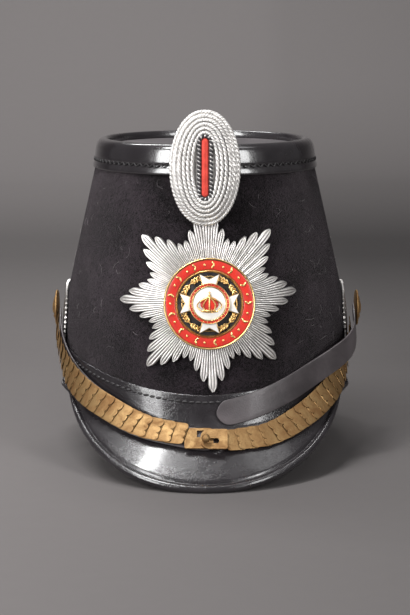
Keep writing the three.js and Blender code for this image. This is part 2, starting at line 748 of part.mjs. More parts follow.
function badgeCord() {
  const radius = 1.15;
  const outline = stadium(SLOT_HALF_WIDTH - GAP - radius, SLOT_HALF_HEIGHT - GAP - radius);
  const spots = outline.getSpacedPoints(36).slice(0, -1).map((p) => new THREE.Vector3(p.x, p.y, 0));
  const path = new THREE.CatmullRomCurve3(spots, true);
  const section = new THREE.Shape();
  section.absarc(0, 0, radius, 0, 2 * Math.PI, false);
  const cord = new THREE.ExtrudeGeometry(section, { steps: 40, extrudePath: path, curveSegments: 3 });
  cord.translate(0, 0, BADGE_THICK - 2.6 + GAP + radius);
  return cord;
}

function badgeCore() {
  const inner = SLOT_HALF_WIDTH - 2 * GAP - 2 * 1.15;
  const up = SLOT_HALF_HEIGHT - 2 * GAP - 2 * 1.15;
  const core = new THREE.ExtrudeGeometry(stadium(inner, up), {
    depth: 1.4, bevelEnabled: true, bevelThickness: 0.5, bevelSize: 0.35, bevelOffset: -0.35, bevelSegments: 1,
    curveSegments: 6,
  });
  core.translate(0, 0, BADGE_THICK - 2.6 + GAP + 0.5);
  return core;
}

add('badge_body', badgeBody(), silverWire, badge);
add('badge_cord', badgeCord(), twistedCord, badge);
add('badge_core', badgeCore(), redThread, badge);

// The middle of the bounding box stands on the origin, with the peaks' edges at z = 0.
hat.updateMatrixWorld(true);
const bounds = new THREE.Box3().setFromObject(hat, true);
hat.position.x -= (bounds.min.x + bounds.max.x) / 2;
hat.position.y -= (bounds.min.y + bounds.max.y) / 2;
hat.position.z -= bounds.min.z;
hat.updateMatrixWorld(true);

export default hat;
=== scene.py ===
"""A felt shako with leather crown band and peaks, field badge, ray star and brass chin scales.

Every length in this file is in metres. The hat stands on z = 0 and its front faces -Y.
"""
import math
import random

import bpy
from mathutils import Matrix, Vector


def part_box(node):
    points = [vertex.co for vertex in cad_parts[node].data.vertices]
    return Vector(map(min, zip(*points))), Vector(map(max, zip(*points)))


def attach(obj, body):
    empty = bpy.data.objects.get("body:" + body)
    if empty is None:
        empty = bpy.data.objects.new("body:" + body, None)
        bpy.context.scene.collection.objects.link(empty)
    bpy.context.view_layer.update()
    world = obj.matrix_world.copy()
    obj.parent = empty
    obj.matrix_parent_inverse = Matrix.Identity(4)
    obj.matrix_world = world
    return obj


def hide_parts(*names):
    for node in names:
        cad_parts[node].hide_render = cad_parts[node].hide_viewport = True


bl_info = {
    "name": "Felt shako",
    "version": (1, 0, 0),
    "blender": (4, 5, 0),
    "location": "View3D > Sidebar > Shako",
    "description": "Builds a felt shako with its badge, star and chin scales",
    "category": "Add Mesh",
}

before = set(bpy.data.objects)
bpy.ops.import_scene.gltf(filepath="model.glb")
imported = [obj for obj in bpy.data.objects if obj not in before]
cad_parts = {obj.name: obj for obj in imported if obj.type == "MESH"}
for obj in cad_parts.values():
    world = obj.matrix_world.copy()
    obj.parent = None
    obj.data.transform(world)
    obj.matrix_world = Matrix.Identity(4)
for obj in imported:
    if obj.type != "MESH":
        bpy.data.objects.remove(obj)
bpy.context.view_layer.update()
MM = 0.001
TURN = 2 * math.pi


def middle(node):
    """Middle of a node's box at rest."""
    low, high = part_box(node)
    return (Vector(low) + Vector(high)) / 2


# ---- The shape of the felt body, on which everything is laid ----

BODY_MIDDLE = middle("felt_body")
BAND_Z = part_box("crown_band")[0][2]
CREST_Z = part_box("crown_band")[1][2]
DISC_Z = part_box("crown_disc")[1][2]
FELT_TOP_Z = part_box("felt_body")[1][2]
FOOT_Z = 30 * MM
FLARE_Z = 100 * MM
UPRIGHT_Z = 65 * MM
SIDE_TAPER = 0.2325
FRONT_TAPER = 0.205
GAP = 0.35 * MM
FLANGE = 1.5 * MM


def half_width(z):
    """Half width of the felt's outer face at a height."""
    straight = 66.7 * MM + SIDE_TAPER * (BAND_Z - z)
    if z >= FLARE_Z:
        return straight
    turn = FLARE_Z - UPRIGHT_Z
    below = min(FLARE_Z - z, turn)
    return 66.7 * MM + SIDE_TAPER * (BAND_Z - FLARE_Z + below - below * below / (2 * turn))


def half_length(z):
    """Half length of the felt's outer face at a height."""
    return 72.6 * MM + FRONT_TAPER * (BAND_Z - max(z, FOOT_Z))


def lower_edge(angle):
    """Height of the body's lower edge. Angle 0 is the front and grows towards +X."""
    drop = 14.5 if math.cos(angle) > 0 else 16.0
    return (43 - drop * math.cos(angle) ** 2) * MM


def wrap(angle, z, offset):
    """The point at an angle, a height and an offset from the felt's outer face."""
    a, b = half_width(z), half_length(z)
    level = Vector((math.sin(angle) / a, -math.cos(angle) / b, 0)).normalized()
    foot = Vector((BODY_MIDDLE.x + a * math.sin(angle), BODY_MIDDLE.y - b * math.cos(angle), z))
    return foot + level * offset


def drape(u, v, h, angle, z):
    """Lays a flat place on the body: u runs around, v runs up and h stands off the felt."""
    height = z + v * 0.98
    return wrap(angle + 2 * u / (half_width(height) + half_length(height)), height, h)


# ---- Modelling helpers ----

def deselect():
    if bpy.context.object and bpy.context.object.mode != "OBJECT":
        bpy.ops.object.mode_set(mode="OBJECT")
    bpy.ops.object.select_all(action="DESELECT")


def activate(piece):
    deselect()
    piece.select_set(True)
    bpy.context.view_layer.objects.active = piece


def weld(piece, distance=1e-6, outward=True):
    """Merges doubles, closes open ends and turns the faces outwards."""
    activate(piece)
    bpy.ops.object.mode_set(mode="EDIT")
    bpy.ops.mesh.select_all(action="SELECT")
    bpy.ops.mesh.remove_doubles(threshold=distance)
    bpy.ops.mesh.select_all(action="DESELECT")
    bpy.ops.mesh.select_non_manifold()
    bpy.ops.mesh.fill_holes(sides=0)
    if outward:
        bpy.ops.mesh.select_all(action="SELECT")
        bpy.ops.mesh.normals_make_consistent(inside=False)
    bpy.ops.object.mode_set(mode="OBJECT")


def bent_grid(name, across, along, place):
    """A grid whose every vertex goes to place(u, v), with u and v from 0 to 1, welded shut."""
    deselect()
    bpy.ops.mesh.primitive_grid_add(x_subdivisions=across, y_subdivisions=along, size=1)
    piece = bpy.context.object
    piece.name = name
    piece.data.name = name
    for vertex in piece.data.vertices:
        vertex.co = place(vertex.co.x + 0.5, vertex.co.y + 0.5)
    weld(piece)
    return piece


def modify(piece, kind, **settings):
    """Adds a modifier and applies it."""
    activate(piece)
    modifier = piece.modifiers.new(kind.title(), kind)
    for key, value in settings.items():
        setattr(modifier, key, value)
    bpy.ops.object.modifier_apply(modifier=modifier.name)


def smooth(piece, degrees=35):
    activate(piece)
    bpy.ops.object.shade_smooth_by_angle(angle=math.radians(degrees))


def between(points, t):
    """A place on a closed polyline of points, with t from 0 to 1."""
    count = len(points)
    i = min(int(t * count + 1e-6), count)
    return points[i % count]


def wrapped(name, profile, start, end, steps):
    """A skin around the body. profile(angle) gives (offset, z) corners of its closed section."""
    rings = [profile(start + (end - start) * i / steps) for i in range(steps + 1)]
    count = len(rings[0])

    def place(u, v):
        i = round(u * steps)
        offset, z = between(rings[i], v)
        return wrap(start + (end - start) * i / steps, z, offset)

    return bent_grid(name, steps, count, place)


def lathe(name, profile, steps, matrix):
    """Spins a closed outline of (radius, height) corners about the local Z of matrix."""
    deselect()
    bpy.ops.mesh.primitive_circle_add(vertices=len(profile), radius=1)
    piece = bpy.context.object
    piece.name = name
    for vertex, (radius, height) in zip(piece.data.vertices, profile):
        vertex.co = (radius, 0, height)
    bpy.ops.object.mode_set(mode="EDIT")
    bpy.ops.mesh.select_all(action="SELECT")
    bpy.ops.mesh.spin(steps=steps, angle=TURN, center=(0, 0, 0), axis=(0, 0, 1))
    bpy.ops.mesh.select_all(action="SELECT")
    bpy.ops.mesh.remove_doubles(threshold=1e-6)
    bpy.ops.mesh.delete_loose(use_verts=False, use_edges=True, use_faces=False)
    bpy.ops.object.mode_set(mode="OBJECT")
    weld(piece)
    piece.data.transform(matrix)
    return piece


def sweep(name, path, radius, sides=8, closed=True):
    """A round cord along a list of points, made as a curve and turned into a mesh."""
    curve = bpy.data.curves.new(name, "CURVE")
    curve.dimensions = "3D"
    curve.bevel_depth = radius
    curve.bevel_resolution = max(0, sides // 2 - 2)
    curve.use_fill_caps = True
    spline = curve.splines.new("POLY")
    spline.points.add(len(path) - 1)
    for point, spot in zip(spline.points, path):
        point.co = (*spot, 1)
    spline.use_cyclic_u = closed
    cord = bpy.data.objects.new(name, curve)
    bpy.context.scene.collection.objects.link(cord)
    activate(cord)
    bpy.ops.object.convert(target="MESH")
    weld(bpy.context.object)
    return bpy.context.object


def bead(name, matrix, radii, segments=10, rings=6):
    """A small rounded bead with its own radii along the axes of matrix."""
    deselect()
    bpy.ops.mesh.primitive_uv_sphere_add(segments=segments, ring_count=rings, radius=1)
    piece = bpy.context.object
    piece.name = name
    piece.data.transform(matrix @ Matrix.Diagonal((*radii, 1)))
    return piece


def join(name, pieces):
    deselect()
    for piece in pieces:
        piece.select_set(True)
    bpy.context.view_layer.objects.active = pieces[0]
    if len(pieces) > 1:
        bpy.ops.object.join()
    joined = bpy.context.object
    joined.name = name
    joined.data.name = name
    return joined


def copies(name, model, matrices):
    """Copies one small mesh to every matrix and joins the copies into one piece."""
    pieces = []
    for matrix in matrices:
        copy = model.copy()
        copy.data = model.data.copy()
        copy.data.transform(matrix)
        bpy.context.scene.collection.objects.link(copy)
        pieces.append(copy)
    bpy.data.objects.remove(model)
    return join(name, pieces)


def plate(name, outline, low, high, matrix, bevel=0.0):
    """A flat plate from an outline of (x, y) corners, with its upper edge bevelled."""
    deselect()
    bpy.ops.mesh.primitive_circle_add(vertices=len(outline), radius=1, fill_type="NGON")
    piece = bpy.context.object
    piece.name = name
    for vertex, (x, y) in zip(piece.data.vertices, outline):
        vertex.co = (x, y, high)
    activate(piece)
    bpy.ops.object.mode_set(mode="EDIT")
    bpy.ops.mesh.select_all(action="SELECT")
    bpy.ops.mesh.extrude_region_move(TRANSFORM_OT_translate={"value": (0, 0, low - high)})
    bpy.ops.mesh.select_all(action="SELECT")
    bpy.ops.mesh.normals_make_consistent(inside=False)
    bpy.ops.object.mode_set(mode="OBJECT")
    if bevel:
        modify(piece, "BEVEL", width=bevel, segments=2, limit_method="ANGLE", angle_limit=math.radians(40))
    piece.data.transform(matrix)
    return piece


def settle(piece, slot, material, *nodes, degrees=35):
    """Shades a finished piece, gives it its material and puts it on the hat."""
    smooth(piece, degrees)
    piece.data.materials.clear()
    piece.data.materials.append(material)
    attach(piece, "root")
    if nodes:
        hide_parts(*nodes)
    return piece


# ---- Shader helper ----

class Signal:
    """A shader socket with arithmetic."""

    def __init__(self, shade, socket):
        self.shade = shade
        self.socket = socket

    def math(self, operation, first, second):
        return self.shade.node("ShaderNodeMath", {"operation": operation}, {0: first, 1: second})

    def __add__(self, other):
        return self.math("ADD", self, other)

    def __radd__(self, other):
        return self.math("ADD", other, self)

    def __sub__(self, other):
        return self.math("SUBTRACT", self, other)

    def __rsub__(self, other):
        return self.math("SUBTRACT", other, self)

    def __mul__(self, other):
        return self.math("MULTIPLY", self, other)

    def __rmul__(self, other):
        return self.math("MULTIPLY", other, self)

    def __gt__(self, other):
        return self.math("GREATER_THAN", self, other)


class Shade:
    """One material: a Principled shader and the nodes that feed it."""

    def __init__(self, name, **fixed):
        self.material = bpy.data.materials.new(name)
        self.material.use_nodes = True
        self.tree = self.material.node_tree
        self.shader = self.tree.nodes["Principled BSDF"]
        for key, value in fixed.items():
            self.shader.inputs[key.replace("_", " ").title().replace("Ior", "IOR")].default_value = value
        self.place = self.node("ShaderNodeTexCoord", output="Object")

    def node(self, kind, settings=None, inputs=None, output=0):
        made = self.tree.nodes.new(kind)
        for key, value in (settings or {}).items():
            if key == "stops":
                for stop, (position, colour) in zip(made.color_ramp.elements, value):
                    stop.position = position
                    stop.color = colour
            else:
                setattr(made, key, value)
        for key, value in (inputs or {}).items():
            if isinstance(value, Signal):
                self.tree.links.new(value.socket, made.inputs[key])
            else:
                made.inputs[key].default_value = value
        return Signal(self, made.outputs[output])

    def math_of(self, operation, value):
        return self.node("ShaderNodeMath", {"operation": operation}, {0: value})

    def noise(self, scale, detail=3.0, rough=0.55, warp=0.0):
        values = {"Vector": self.place, "Scale": scale, "Detail": detail, "Roughness": rough, "Distortion": warp}
        return self.node("ShaderNodeTexNoise", {"noise_dimensions": "3D"}, values)

    def cells(self, scale, output="Distance"):
        return self.node("ShaderNodeTexVoronoi", {}, {"Vector": self.place, "Scale": scale}, output)

    def remap(self, value, low, high):
        """Stretches low..high to 0..1."""
        return self.node("ShaderNodeMapRange", {"clamp": True}, {"Value": value, "From Min": low, "From Max": high})

    def mix(self, factor, first, second):
        return self.node("ShaderNodeMix", {"data_type": "RGBA"}, {0: factor, 6: first, 7: second}, 2)

    def feed(self, socket, value):
        self.tree.links.new(value.socket, self.shader.inputs[socket])

    def bump(self, height, strength, distance):
        values = {"Height": height, "Strength": strength, "Distance": distance}
        self.feed("Normal", self.node("ShaderNodeBump", {}, values))


def tint(colour, factor):
    return (colour[0] * factor, colour[1] * factor, colour[2] * factor, 1)


def felt_finish(name, colour):
    shade = Shade(name, sheen_weight=0.16, sheen_roughness=0.35, specular_ior_level=0.1)
    shade.shader.inputs["Sheen Tint"].default_value = (0.62, 0.55, 0.58, 1)
    fibres = shade.noise(560, 9, 0.8, 3.0)
    tufts = shade.noise(330, 5, 0.7, 2.0)
    patches = shade.remap(shade.noise(34, 3), 0.35, 0.7)
    lift = shade.remap(0.6 * fibres + 0.32 * tufts + 0.08 * patches, 0.46, 0.57)
    shade.feed("Base Color", shade.mix(lift, tint(colour, 0.08), tint(colour, 3.0)))
    shade.feed("Roughness", 0.86 + 0.12 * tufts)
    shade.bump(0.6 * fibres + 0.6 * tufts, 1.0, 0.0035)
    return shade.material


def leather_finish(name, colour, gloss, coat, wear=0.25, relief=0.22):
    shade = Shade(name, coat_weight=coat, coat_roughness=0.12, specular_ior_level=0.5)
    grain = shade.remap(shade.cells(1100), 0.0, 0.55)
    creases = shade.noise(260, 5, 0.65, 1.2)
    smears = shade.remap(shade.noise(36, 4, 0.6, 0.6), 0.38, 0.68)
    scuffs = shade.remap(shade.noise(900, 8, 0.75, 3.0), 0.6, 0.75)
    worn = shade.mix(wear * smears, tint(colour, 1.0), tint(colour, 2.6))
    shade.feed("Base Color", shade.mix(wear * scuffs, worn, tint(colour, 4.0)))
    shade.feed("Roughness", gloss + 0.16 * smears + 0.1 * scuffs)
    shade.bump(0.35 * grain + 0.65 * creases, relief, 0.0005)
    return shade.material


def metal_finish(name, colour, dull, tarnish, roughness, dark=0.6):
    shade = Shade(name, metallic=1.0)
    cloud = shade.remap(shade.noise(120, 5, 0.65, 0.8), 0.36, 0.66)
    specks = shade.remap(shade.noise(900, 4, 0.7), 0.55, 0.72)
    body = shade.mix(dark * cloud, tint(colour, 1.0), tint(dull, 1.0))
    shade.feed("Base Color", shade.mix(0.35 * specks, body, tint(tarnish, 1.0)))
    shade.feed("Roughness", roughness + 0.14 * cloud + 0.12 * specks)
    shade.bump(0.7 * cloud + 0.3 * specks, 0.12, 0.0003)
    return shade.material


def ray_finish(name, colour):
    """Silver rays with painted shade in the grooves between their ribs. V of the UV map runs across a ray."""
    shade = Shade(name, metallic=1.0)
    spread = shade.node("ShaderNodeTexCoord", output="UV")
    split = shade.node("ShaderNodeSeparateXYZ", {}, {"Vector": spread}, "Y")
    wave = shade.math_of("ABSOLUTE", shade.math_of("SINE", split * (2 * math.pi * RIBS)))
    # groove masks the grooves between the ribs: it carries painted shade there and also roughens them.
    groove = 1 - shade.remap(wave, 0.05, 0.55)
    cloud = shade.remap(shade.noise(150, 5, 0.65, 0.8), 0.36, 0.66)
    streaks = shade.remap(shade.noise(1100, 4, 0.7), 0.5, 0.7)
    body = shade.mix(0.45 * cloud + 0.3 * streaks, tint(colour, 1.05), tint(colour, 0.5))
    # Painted shade: the silver is darkened nearly to black along the grooves.
    shade.feed("Base Color", shade.mix(0.85 * groove, body, tint(colour, 0.14)))
    shade.feed("Roughness", 0.38 + 0.16 * cloud + 0.2 * groove)
    shade.bump(0.6 * cloud + 0.4 * streaks, 0.2, 0.0003)
    return shade.material


def enamel_finish(name, colour, shadow):
    shade = Shade(name, coat_weight=0.6, coat_roughness=0.08)
    cloud = shade.remap(shade.noise(220, 4), 0.35, 0.7)
    specks = shade.remap(shade.noise(1300, 3), 0.62, 0.74)
    body = shade.mix(0.6 * cloud, tint(colour, 1.0), tint(shadow, 1.0))
    shade.feed("Base Color", shade.mix(0.3 * specks, body, tint(shadow, 0.6)))
    shade.feed("Roughness", 0.22 + 0.2 * cloud)
    shade.bump(cloud + specks, 0.1, 0.0003)
    return shade.material


def thread_finish(name, colour, metal, roughness):
    shade = Shade(name, metallic=metal)
    strands = shade.noise(2600, 4, 0.7, 1.5)
    cloud = shade.remap(shade.noise(240, 4), 0.35, 0.68)
    body = shade.mix(0.55 * cloud, tint(colour, 1.12), tint(colour, 0.6))
    shade.feed("Base Color", shade.mix(shade.remap(strands, 0.55, 0.7), body, tint(colour, 0.45)))
    shade.feed("Roughness", roughness + 0.2 * cloud)
    shade.bump(strands, 0.5, 0.0003)
    return shade.material


FINISHES = {}


def finish_of(slot):
    """The hat's finishes, each made once."""
    if not FINISHES:
        hues = bpy.context.scene.shako_colours
        brass = tuple(hues.brass)
        silver = tuple(hues.silver)
        FINISHES.update({
            "felt": felt_finish("black_felt", hues.felt),
            "leather": leather_finish("polished_leather", hues.leather, 0.16, 1.0),
            "peak_leather": leather_finish("peak_leather", hues.leather, 0.2, 0.45, 0.3, 0.4),
            "top_leather": leather_finish("worn_top_leather", (0.034, 0.029, 0.031), 0.6, 0.0, 0.5),
            "strap_leather": leather_finish("strap_leather", (0.04, 0.034, 0.036), 0.4, 0.1, 0.75),
            "brass": metal_finish("worn_brass", brass, (0.22, 0.118, 0.05), (0.045, 0.023, 0.012), 0.56, 0.9),
            "silver": metal_finish("struck_silver", silver, (0.45, 0.43, 0.41), (0.12, 0.11, 0.1), 0.3),
            "ray_silver_groove_shade": ray_finish("ray_silver_groove_shade", silver),
            "gilt": metal_finish("gilt", (0.9, 0.62, 0.26), (0.55, 0.34, 0.13), (0.2, 0.12, 0.06), 0.24),
            "red_enamel": enamel_finish("red_enamel", (0.62, 0.035, 0.022), (0.32, 0.015, 0.012)),
            "black_enamel": enamel_finish("black_enamel", (0.016, 0.014, 0.016), (0.05, 0.045, 0.045)),
            "white_enamel": enamel_finish("white_enamel", (0.86, 0.84, 0.8), (0.6, 0.57, 0.53)),
            "silver_wire": thread_finish("silver_wire", (0.7, 0.68, 0.66), 0.8, 0.36),
            "twisted_cord": thread_finish("dark_cord", (0.03, 0.027, 0.03), 0.0, 0.7),
            "red_thread": thread_finish("red_wool", (0.66, 0.06, 0.04), 0.0, 0.75),
            "wool": thread_finish("wool_fibre", (0.3, 0.27, 0.28), 0.0, 0.8),
            "stitch": thread_finish("waxed_thread", (0.014, 0.012, 0.013), 0.0, 0.42),
        })
    return FINISHES[slot]


# ---- Settings that a user would change ----

class ShakoColours(bpy.types.PropertyGroup):
    felt: bpy.props.FloatVectorProperty(
        name="Felt", description="Colour of the felt", subtype="COLOR", default=(0.0135, 0.0102, 0.0125))
    leather: bpy.props.FloatVectorProperty(
        name="Leather", description="Colour of the band and peaks", subtype="COLOR", default=(0.014, 0.012, 0.0135))
    brass: bpy.props.FloatVectorProperty(
        name="Brass", description="Colour of the chin scales", subtype="COLOR", default=(0.37, 0.24, 0.11))
    silver: bpy.props.FloatVectorProperty(
        name="Silver", description="Colour of the star", subtype="COLOR", default=(0.68, 0.655, 0.635))
    floor: bpy.props.FloatVectorProperty(
        name="Floor", description="Colour of the floor and backdrop", subtype="COLOR", default=(0.128, 0.119, 0.118))


class ShakoSizes(bpy.types.PropertyGroup):
    stitch: bpy.props.FloatProperty(
        name="Stitch", description="Length of a peak stitch", unit="LENGTH", default=3.4 * MM)
    stitch_pitch: bpy.props.FloatProperty(
        name="Stitch pitch", description="Distance between peak stitches", unit="LENGTH", default=4.2 * MM)
    badge_rings: bpy.props.IntProperty(
        name="Badge rings", description="Rings of wire cord on the field badge", default=6, min=2, max=10)
    star_radius: bpy.props.FloatProperty(
        name="Star radius", description="Length of the star's longest ray", unit="LENGTH", default=52 * MM)
    scale_arch: bpy.props.FloatProperty(
        name="Scale arch", description="Height of a chin scale's arch", unit="LENGTH", default=0.35 * MM)


# ---- Felt body and crown ----

class SHAKO_OT_felt(bpy.types.Operator):
    """Model the felt body, open below"""
    bl_idname = "shako.felt"
    bl_label = "Felt body"

    def execute(self, context):
        heights = [0.055, 0.075, 0.09, 0.11, 0.14, 0.165, FELT_TOP_Z]
        wall = 3 * MM

        def profile(angle):
            edge = lower_edge(angle)
            outside = [(0, edge)] + [(0, z) for z in heights]
            inside = [(-wall, z) for z in reversed(heights)] + [(-wall, edge)]
            return [(-wall / 2, edge - 0.2 * MM)] + outside + inside

        body = wrapped("shako_felt", profile, 0, TURN, 128)
        settle(body, "felt", finish_of("felt"), "felt_body", degrees=60)
        self.hairs()
        return {"FINISHED"}


    def hairs(self):
        """Loose wool fibres that curl off the felt."""
        chance = random.Random(7)
        strands = []
        for _ in range(160):
            angle, z = chance.uniform(0, TURN), chance.uniform(0.066, 0.163)
            way, bend, length = chance.uniform(0, TURN), chance.uniform(-0.5, 0.5), chance.uniform(2, 8) * MM
            path, u, v = [], 0.0, 0.0
            for n in range(6):
                path.append(drape(u, v, 0.15 * MM + 0.5 * MM * math.sin(math.pi * n / 5), angle, z))
                u += length / 5 * math.cos(way)
                v += length / 5 * math.sin(way)
                way += bend
            strands.append(sweep("hair", path, chance.uniform(0.035, 0.055) * MM, 4, False))
        settle(join("shako_felt_hairs", strands), "felt", finish_of("wool"), degrees=80)


SEAM_Z = 173.4 * MM


class SHAKO_OT_crown(bpy.types.Operator):
    """Model the crown band with its rolled edge and cross-stitched seam, and the leather top"""
    bl_idname = "shako.crown"
    bl_label = "Crown"

    def execute(self, context):
        face = GAP + 1.2 * MM
        corners = [
            (GAP, BAND_Z), (face - 0.3 * MM, BAND_Z), (face, BAND_Z + 0.4 * MM), (face + 0.35 * MM, BAND_Z + 2 * MM),
            (face + 0.1 * MM, SEAM_Z - 1.0 * MM), (face - 0.5 * MM, SEAM_Z - 0.5 * MM), (face - 0.5 * MM, SEAM_Z),
            (face + 0.3 * MM, SEAM_Z + 0.5 * MM), (face + 0.6 * MM, 0.1765), (face + 0.9 * MM, 0.1805),
            (face + 0.6 * MM, 0.1831), (face - 0.6 * MM, 0.1849), (-1.2 * MM, CREST_Z), (-2.6 * MM, CREST_Z - 0.5 * MM),
            (-3.7 * MM, CREST_Z - 1.7 * MM), (-4.4 * MM, 0.1815), (-4.4 * MM, FELT_TOP_Z + GAP), (GAP, FELT_TOP_Z + GAP),
        ]
        band = wrapped("shako_crown_band", lambda angle: corners, 0, TURN, 128)
        modify(band, "SUBSURF", levels=1, render_levels=1)
        settle(band, "leather", finish_of("leather"), "crown_band", degrees=60)
        self.top()
        self.seam()
        return {"FINISHED"}

    def top(self):
        clear = 4.4 * MM + GAP
        low = DISC_Z - 2 * MM
        profile = [(0, low), (0.6, low), (1, low), (1, DISC_Z - 0.7 * MM), (0.985, DISC_Z - 0.1 * MM)]
        profile += [(0.95, DISC_Z), (0.8, DISC_Z - 0.15 * MM), (0.4, DISC_Z - 0.3 * MM), (0, DISC_Z - 0.3 * MM)]
        count = len(profile) - 1

        def place(u, v):
            share, z = profile[round(v * count)]
            edge = wrap(TURN * u, DISC_Z, -clear)
            return Vector((BODY_MIDDLE.x, BODY_MIDDLE.y, z)) * 1.0 + Vector(
                ((edge.x - BODY_MIDDLE.x) * share, (edge.y - BODY_MIDDLE.y) * share, 0))

        top = bent_grid("shako_top", 128, count, place)
        settle(top, "leather", finish_of("top_leather"), "crown_disc", degrees=40)

    def seam(self):
        """Crossed stitches that run over the seam all the way round."""
        pitch = 2.3 * MM
        count = int(TURN * (half_width(SEAM_Z) + half_length(SEAM_Z)) / 2 / pitch)
        model = bead("stitch_model", Matrix.Identity(4), (1.7 * MM, 0.42 * MM, 0.42 * MM), 8, 6)
        places = []
        for i in range(count):
            angle = TURN * i / count
            lean = math.radians(42) * (1 if i % 2 else -1)
            spot = wrap(angle, SEAM_Z - 0.2 * MM, GAP + 1.3 * MM)
            places.append(surface_matrix(angle, SEAM_Z, spot) @ Matrix.Rotation(lean, 4, "Z"))
        stitches = copies("shako_crown_stitches", model, places)
        settle(stitches, "leather", finish_of("stitch"), degrees=80)


def surface_matrix(angle, z, spot):
    """Axes on the body at an angle: X runs around, Y runs up and Z points out."""
    around = (wrap(angle + 0.01, z, 0) - wrap(angle - 0.01, z, 0)).normalized()
    up = (wrap(angle, z + MM, 0) - wrap(angle, z - MM, 0)).normalized()
    out = around.cross(up).normalized()
    up = out.cross(around)
    return Matrix.Translation(spot) @ Matrix((around, up, out)).transposed().to_4x4()


# ---- Peaks ----

PEAK_SLOPE = math.radians(43)
FRONT_SPREAD = math.radians(71)
REAR_SPREAD = math.radians(60)


def peak_section(angle, back, reach, spread, flange, slope):
    """Section of a peak: flange, leaf, groove and rolled edge, as (offset, z) corners."""
    edge = lower_edge(angle)
    turn = min(1, abs(back) / spread)
    width = reach * max(0, math.cos(turn * math.pi / 2)) ** 1.4
    length = max(width / math.cos(slope), 5 * MM)
    k = MM * min(1, length / (14 * MM))
    face = GAP + FLANGE

    def point(along, over):
        z = edge + 1.2 * MM - along * math.sin(slope) + over * math.cos(slope)
        return (face + along * math.cos(slope) + over * math.sin(slope), max(0.0, z))

    leaf = [point(length * share - 6.8 * k * share, 0) for share in (0.06, 0.35, 0.7, 1.0)]
    roll = [(6.2, -0.25), (5.6, -0.85), (4.9, -0.4), (4.3, 0.75), (2.8, 1.4), (1.2, 1.0), (0.2, -0.2), (0, -1.8),
            (0.5, -2.9), (1.6, -3.4), (5.4, -2.6)]
    under = [(length - along * k, over * k) for along, over in roll]
    top = edge + flange
    wall = [(GAP, edge - 1.4 * MM), (GAP, top), (face - 0.3 * MM, top), (face, top - 0.4 * MM)]
    wall += [(face, top - 1.2 * MM), (face, edge + 6 * MM), (face, edge + 2.2 * MM)]
    return wall + leaf + [point(*corner) for corner in under]


def front_peak(angle):
    flange = (18.5 + 2 * abs(angle) / FRONT_SPREAD) * MM
    return peak_section(angle, angle, 31 * MM, FRONT_SPREAD, flange, PEAK_SLOPE)


def rear_peak(angle):
    return peak_section(angle, angle - math.pi, 24 * MM, REAR_SPREAD, 16 * MM, math.radians(49.5))


class SHAKO_OT_peaks(bpy.types.Operator):
    """Model the two leather peaks with their stitched flanges"""
    bl_idname = "shako.peaks"
    bl_label = "Peaks"

    def execute(self, context):
        front = wrapped("shako_front_peak", front_peak, -FRONT_SPREAD, FRONT_SPREAD, 72)
        rear = wrapped("shako_rear_peak", rear_peak, math.pi - REAR_SPREAD, math.pi + REAR_SPREAD, 56)
        for peak, node in ((front, "front_peak"), (rear, "rear_peak")):
            modify(peak, "SUBSURF", levels=1, render_levels=1)
            settle(peak, "leather", finish_of("peak_leather"), node, degrees=50)
        self.stitches("shako_front_stitches", 0, FRONT_SPREAD, 14.6 * MM, 2 * MM)
        self.stitches("shako_rear_stitches", math.pi, REAR_SPREAD, 12.4 * MM, 0)
        return {"FINISHED"}

    def stitches(self, name, middle_angle, spread, rise, growth):
        """A row of stitches along a flange, sunk into it."""
        sizes = bpy.context.scene.shako_sizes
        step = sizes.stitch_pitch / (98 * MM)
        count = int(spread / step)
        model = bead("stitch_model", Matrix.Identity(4), (sizes.stitch / 2, 0.8 * MM, 0.7 * MM), 10, 8)
        places = []
        for i in range(-count, count + 1):
            angle = middle_angle + i * step
            z = lower_edge(angle) + rise + growth * abs(i * step) / spread
            places.append(surface_matrix(angle, z, wrap(angle, z, GAP + FLANGE + 0.05 * MM)))
        settle(copies(name, model, places), "leather", finish_of("stitch"), degrees=80)


# ---- Field badge ----

BADGE_TILT = math.radians(6.5)
BADGE_HALF = (20 * MM, 32.3 * MM)
BADGE_THICK = 7 * MM


def badge_axes():
    """Axes of the badge: X right, Y up its face and Z out of it, from its back."""
    turn = Matrix.Rotation(math.pi / 2 - BADGE_TILT, 4, "X")
    core = middle("badge_body")
    back = turn @ Vector((0, 0, -BADGE_THICK / 2))
    return Matrix.Translation(core + back) @ turn


def oval(share, t):
    """A place on an oval of the badge's outline, made smaller by share."""
    x, y = math.cos(t), math.sin(t)
    squared = math.copysign(abs(x) ** 0.93, x)
    inset = (1 - share) * BADGE_HALF[0]
    return ((BADGE_HALF[0] - inset) * squared, (BADGE_HALF[1] - inset) * y)


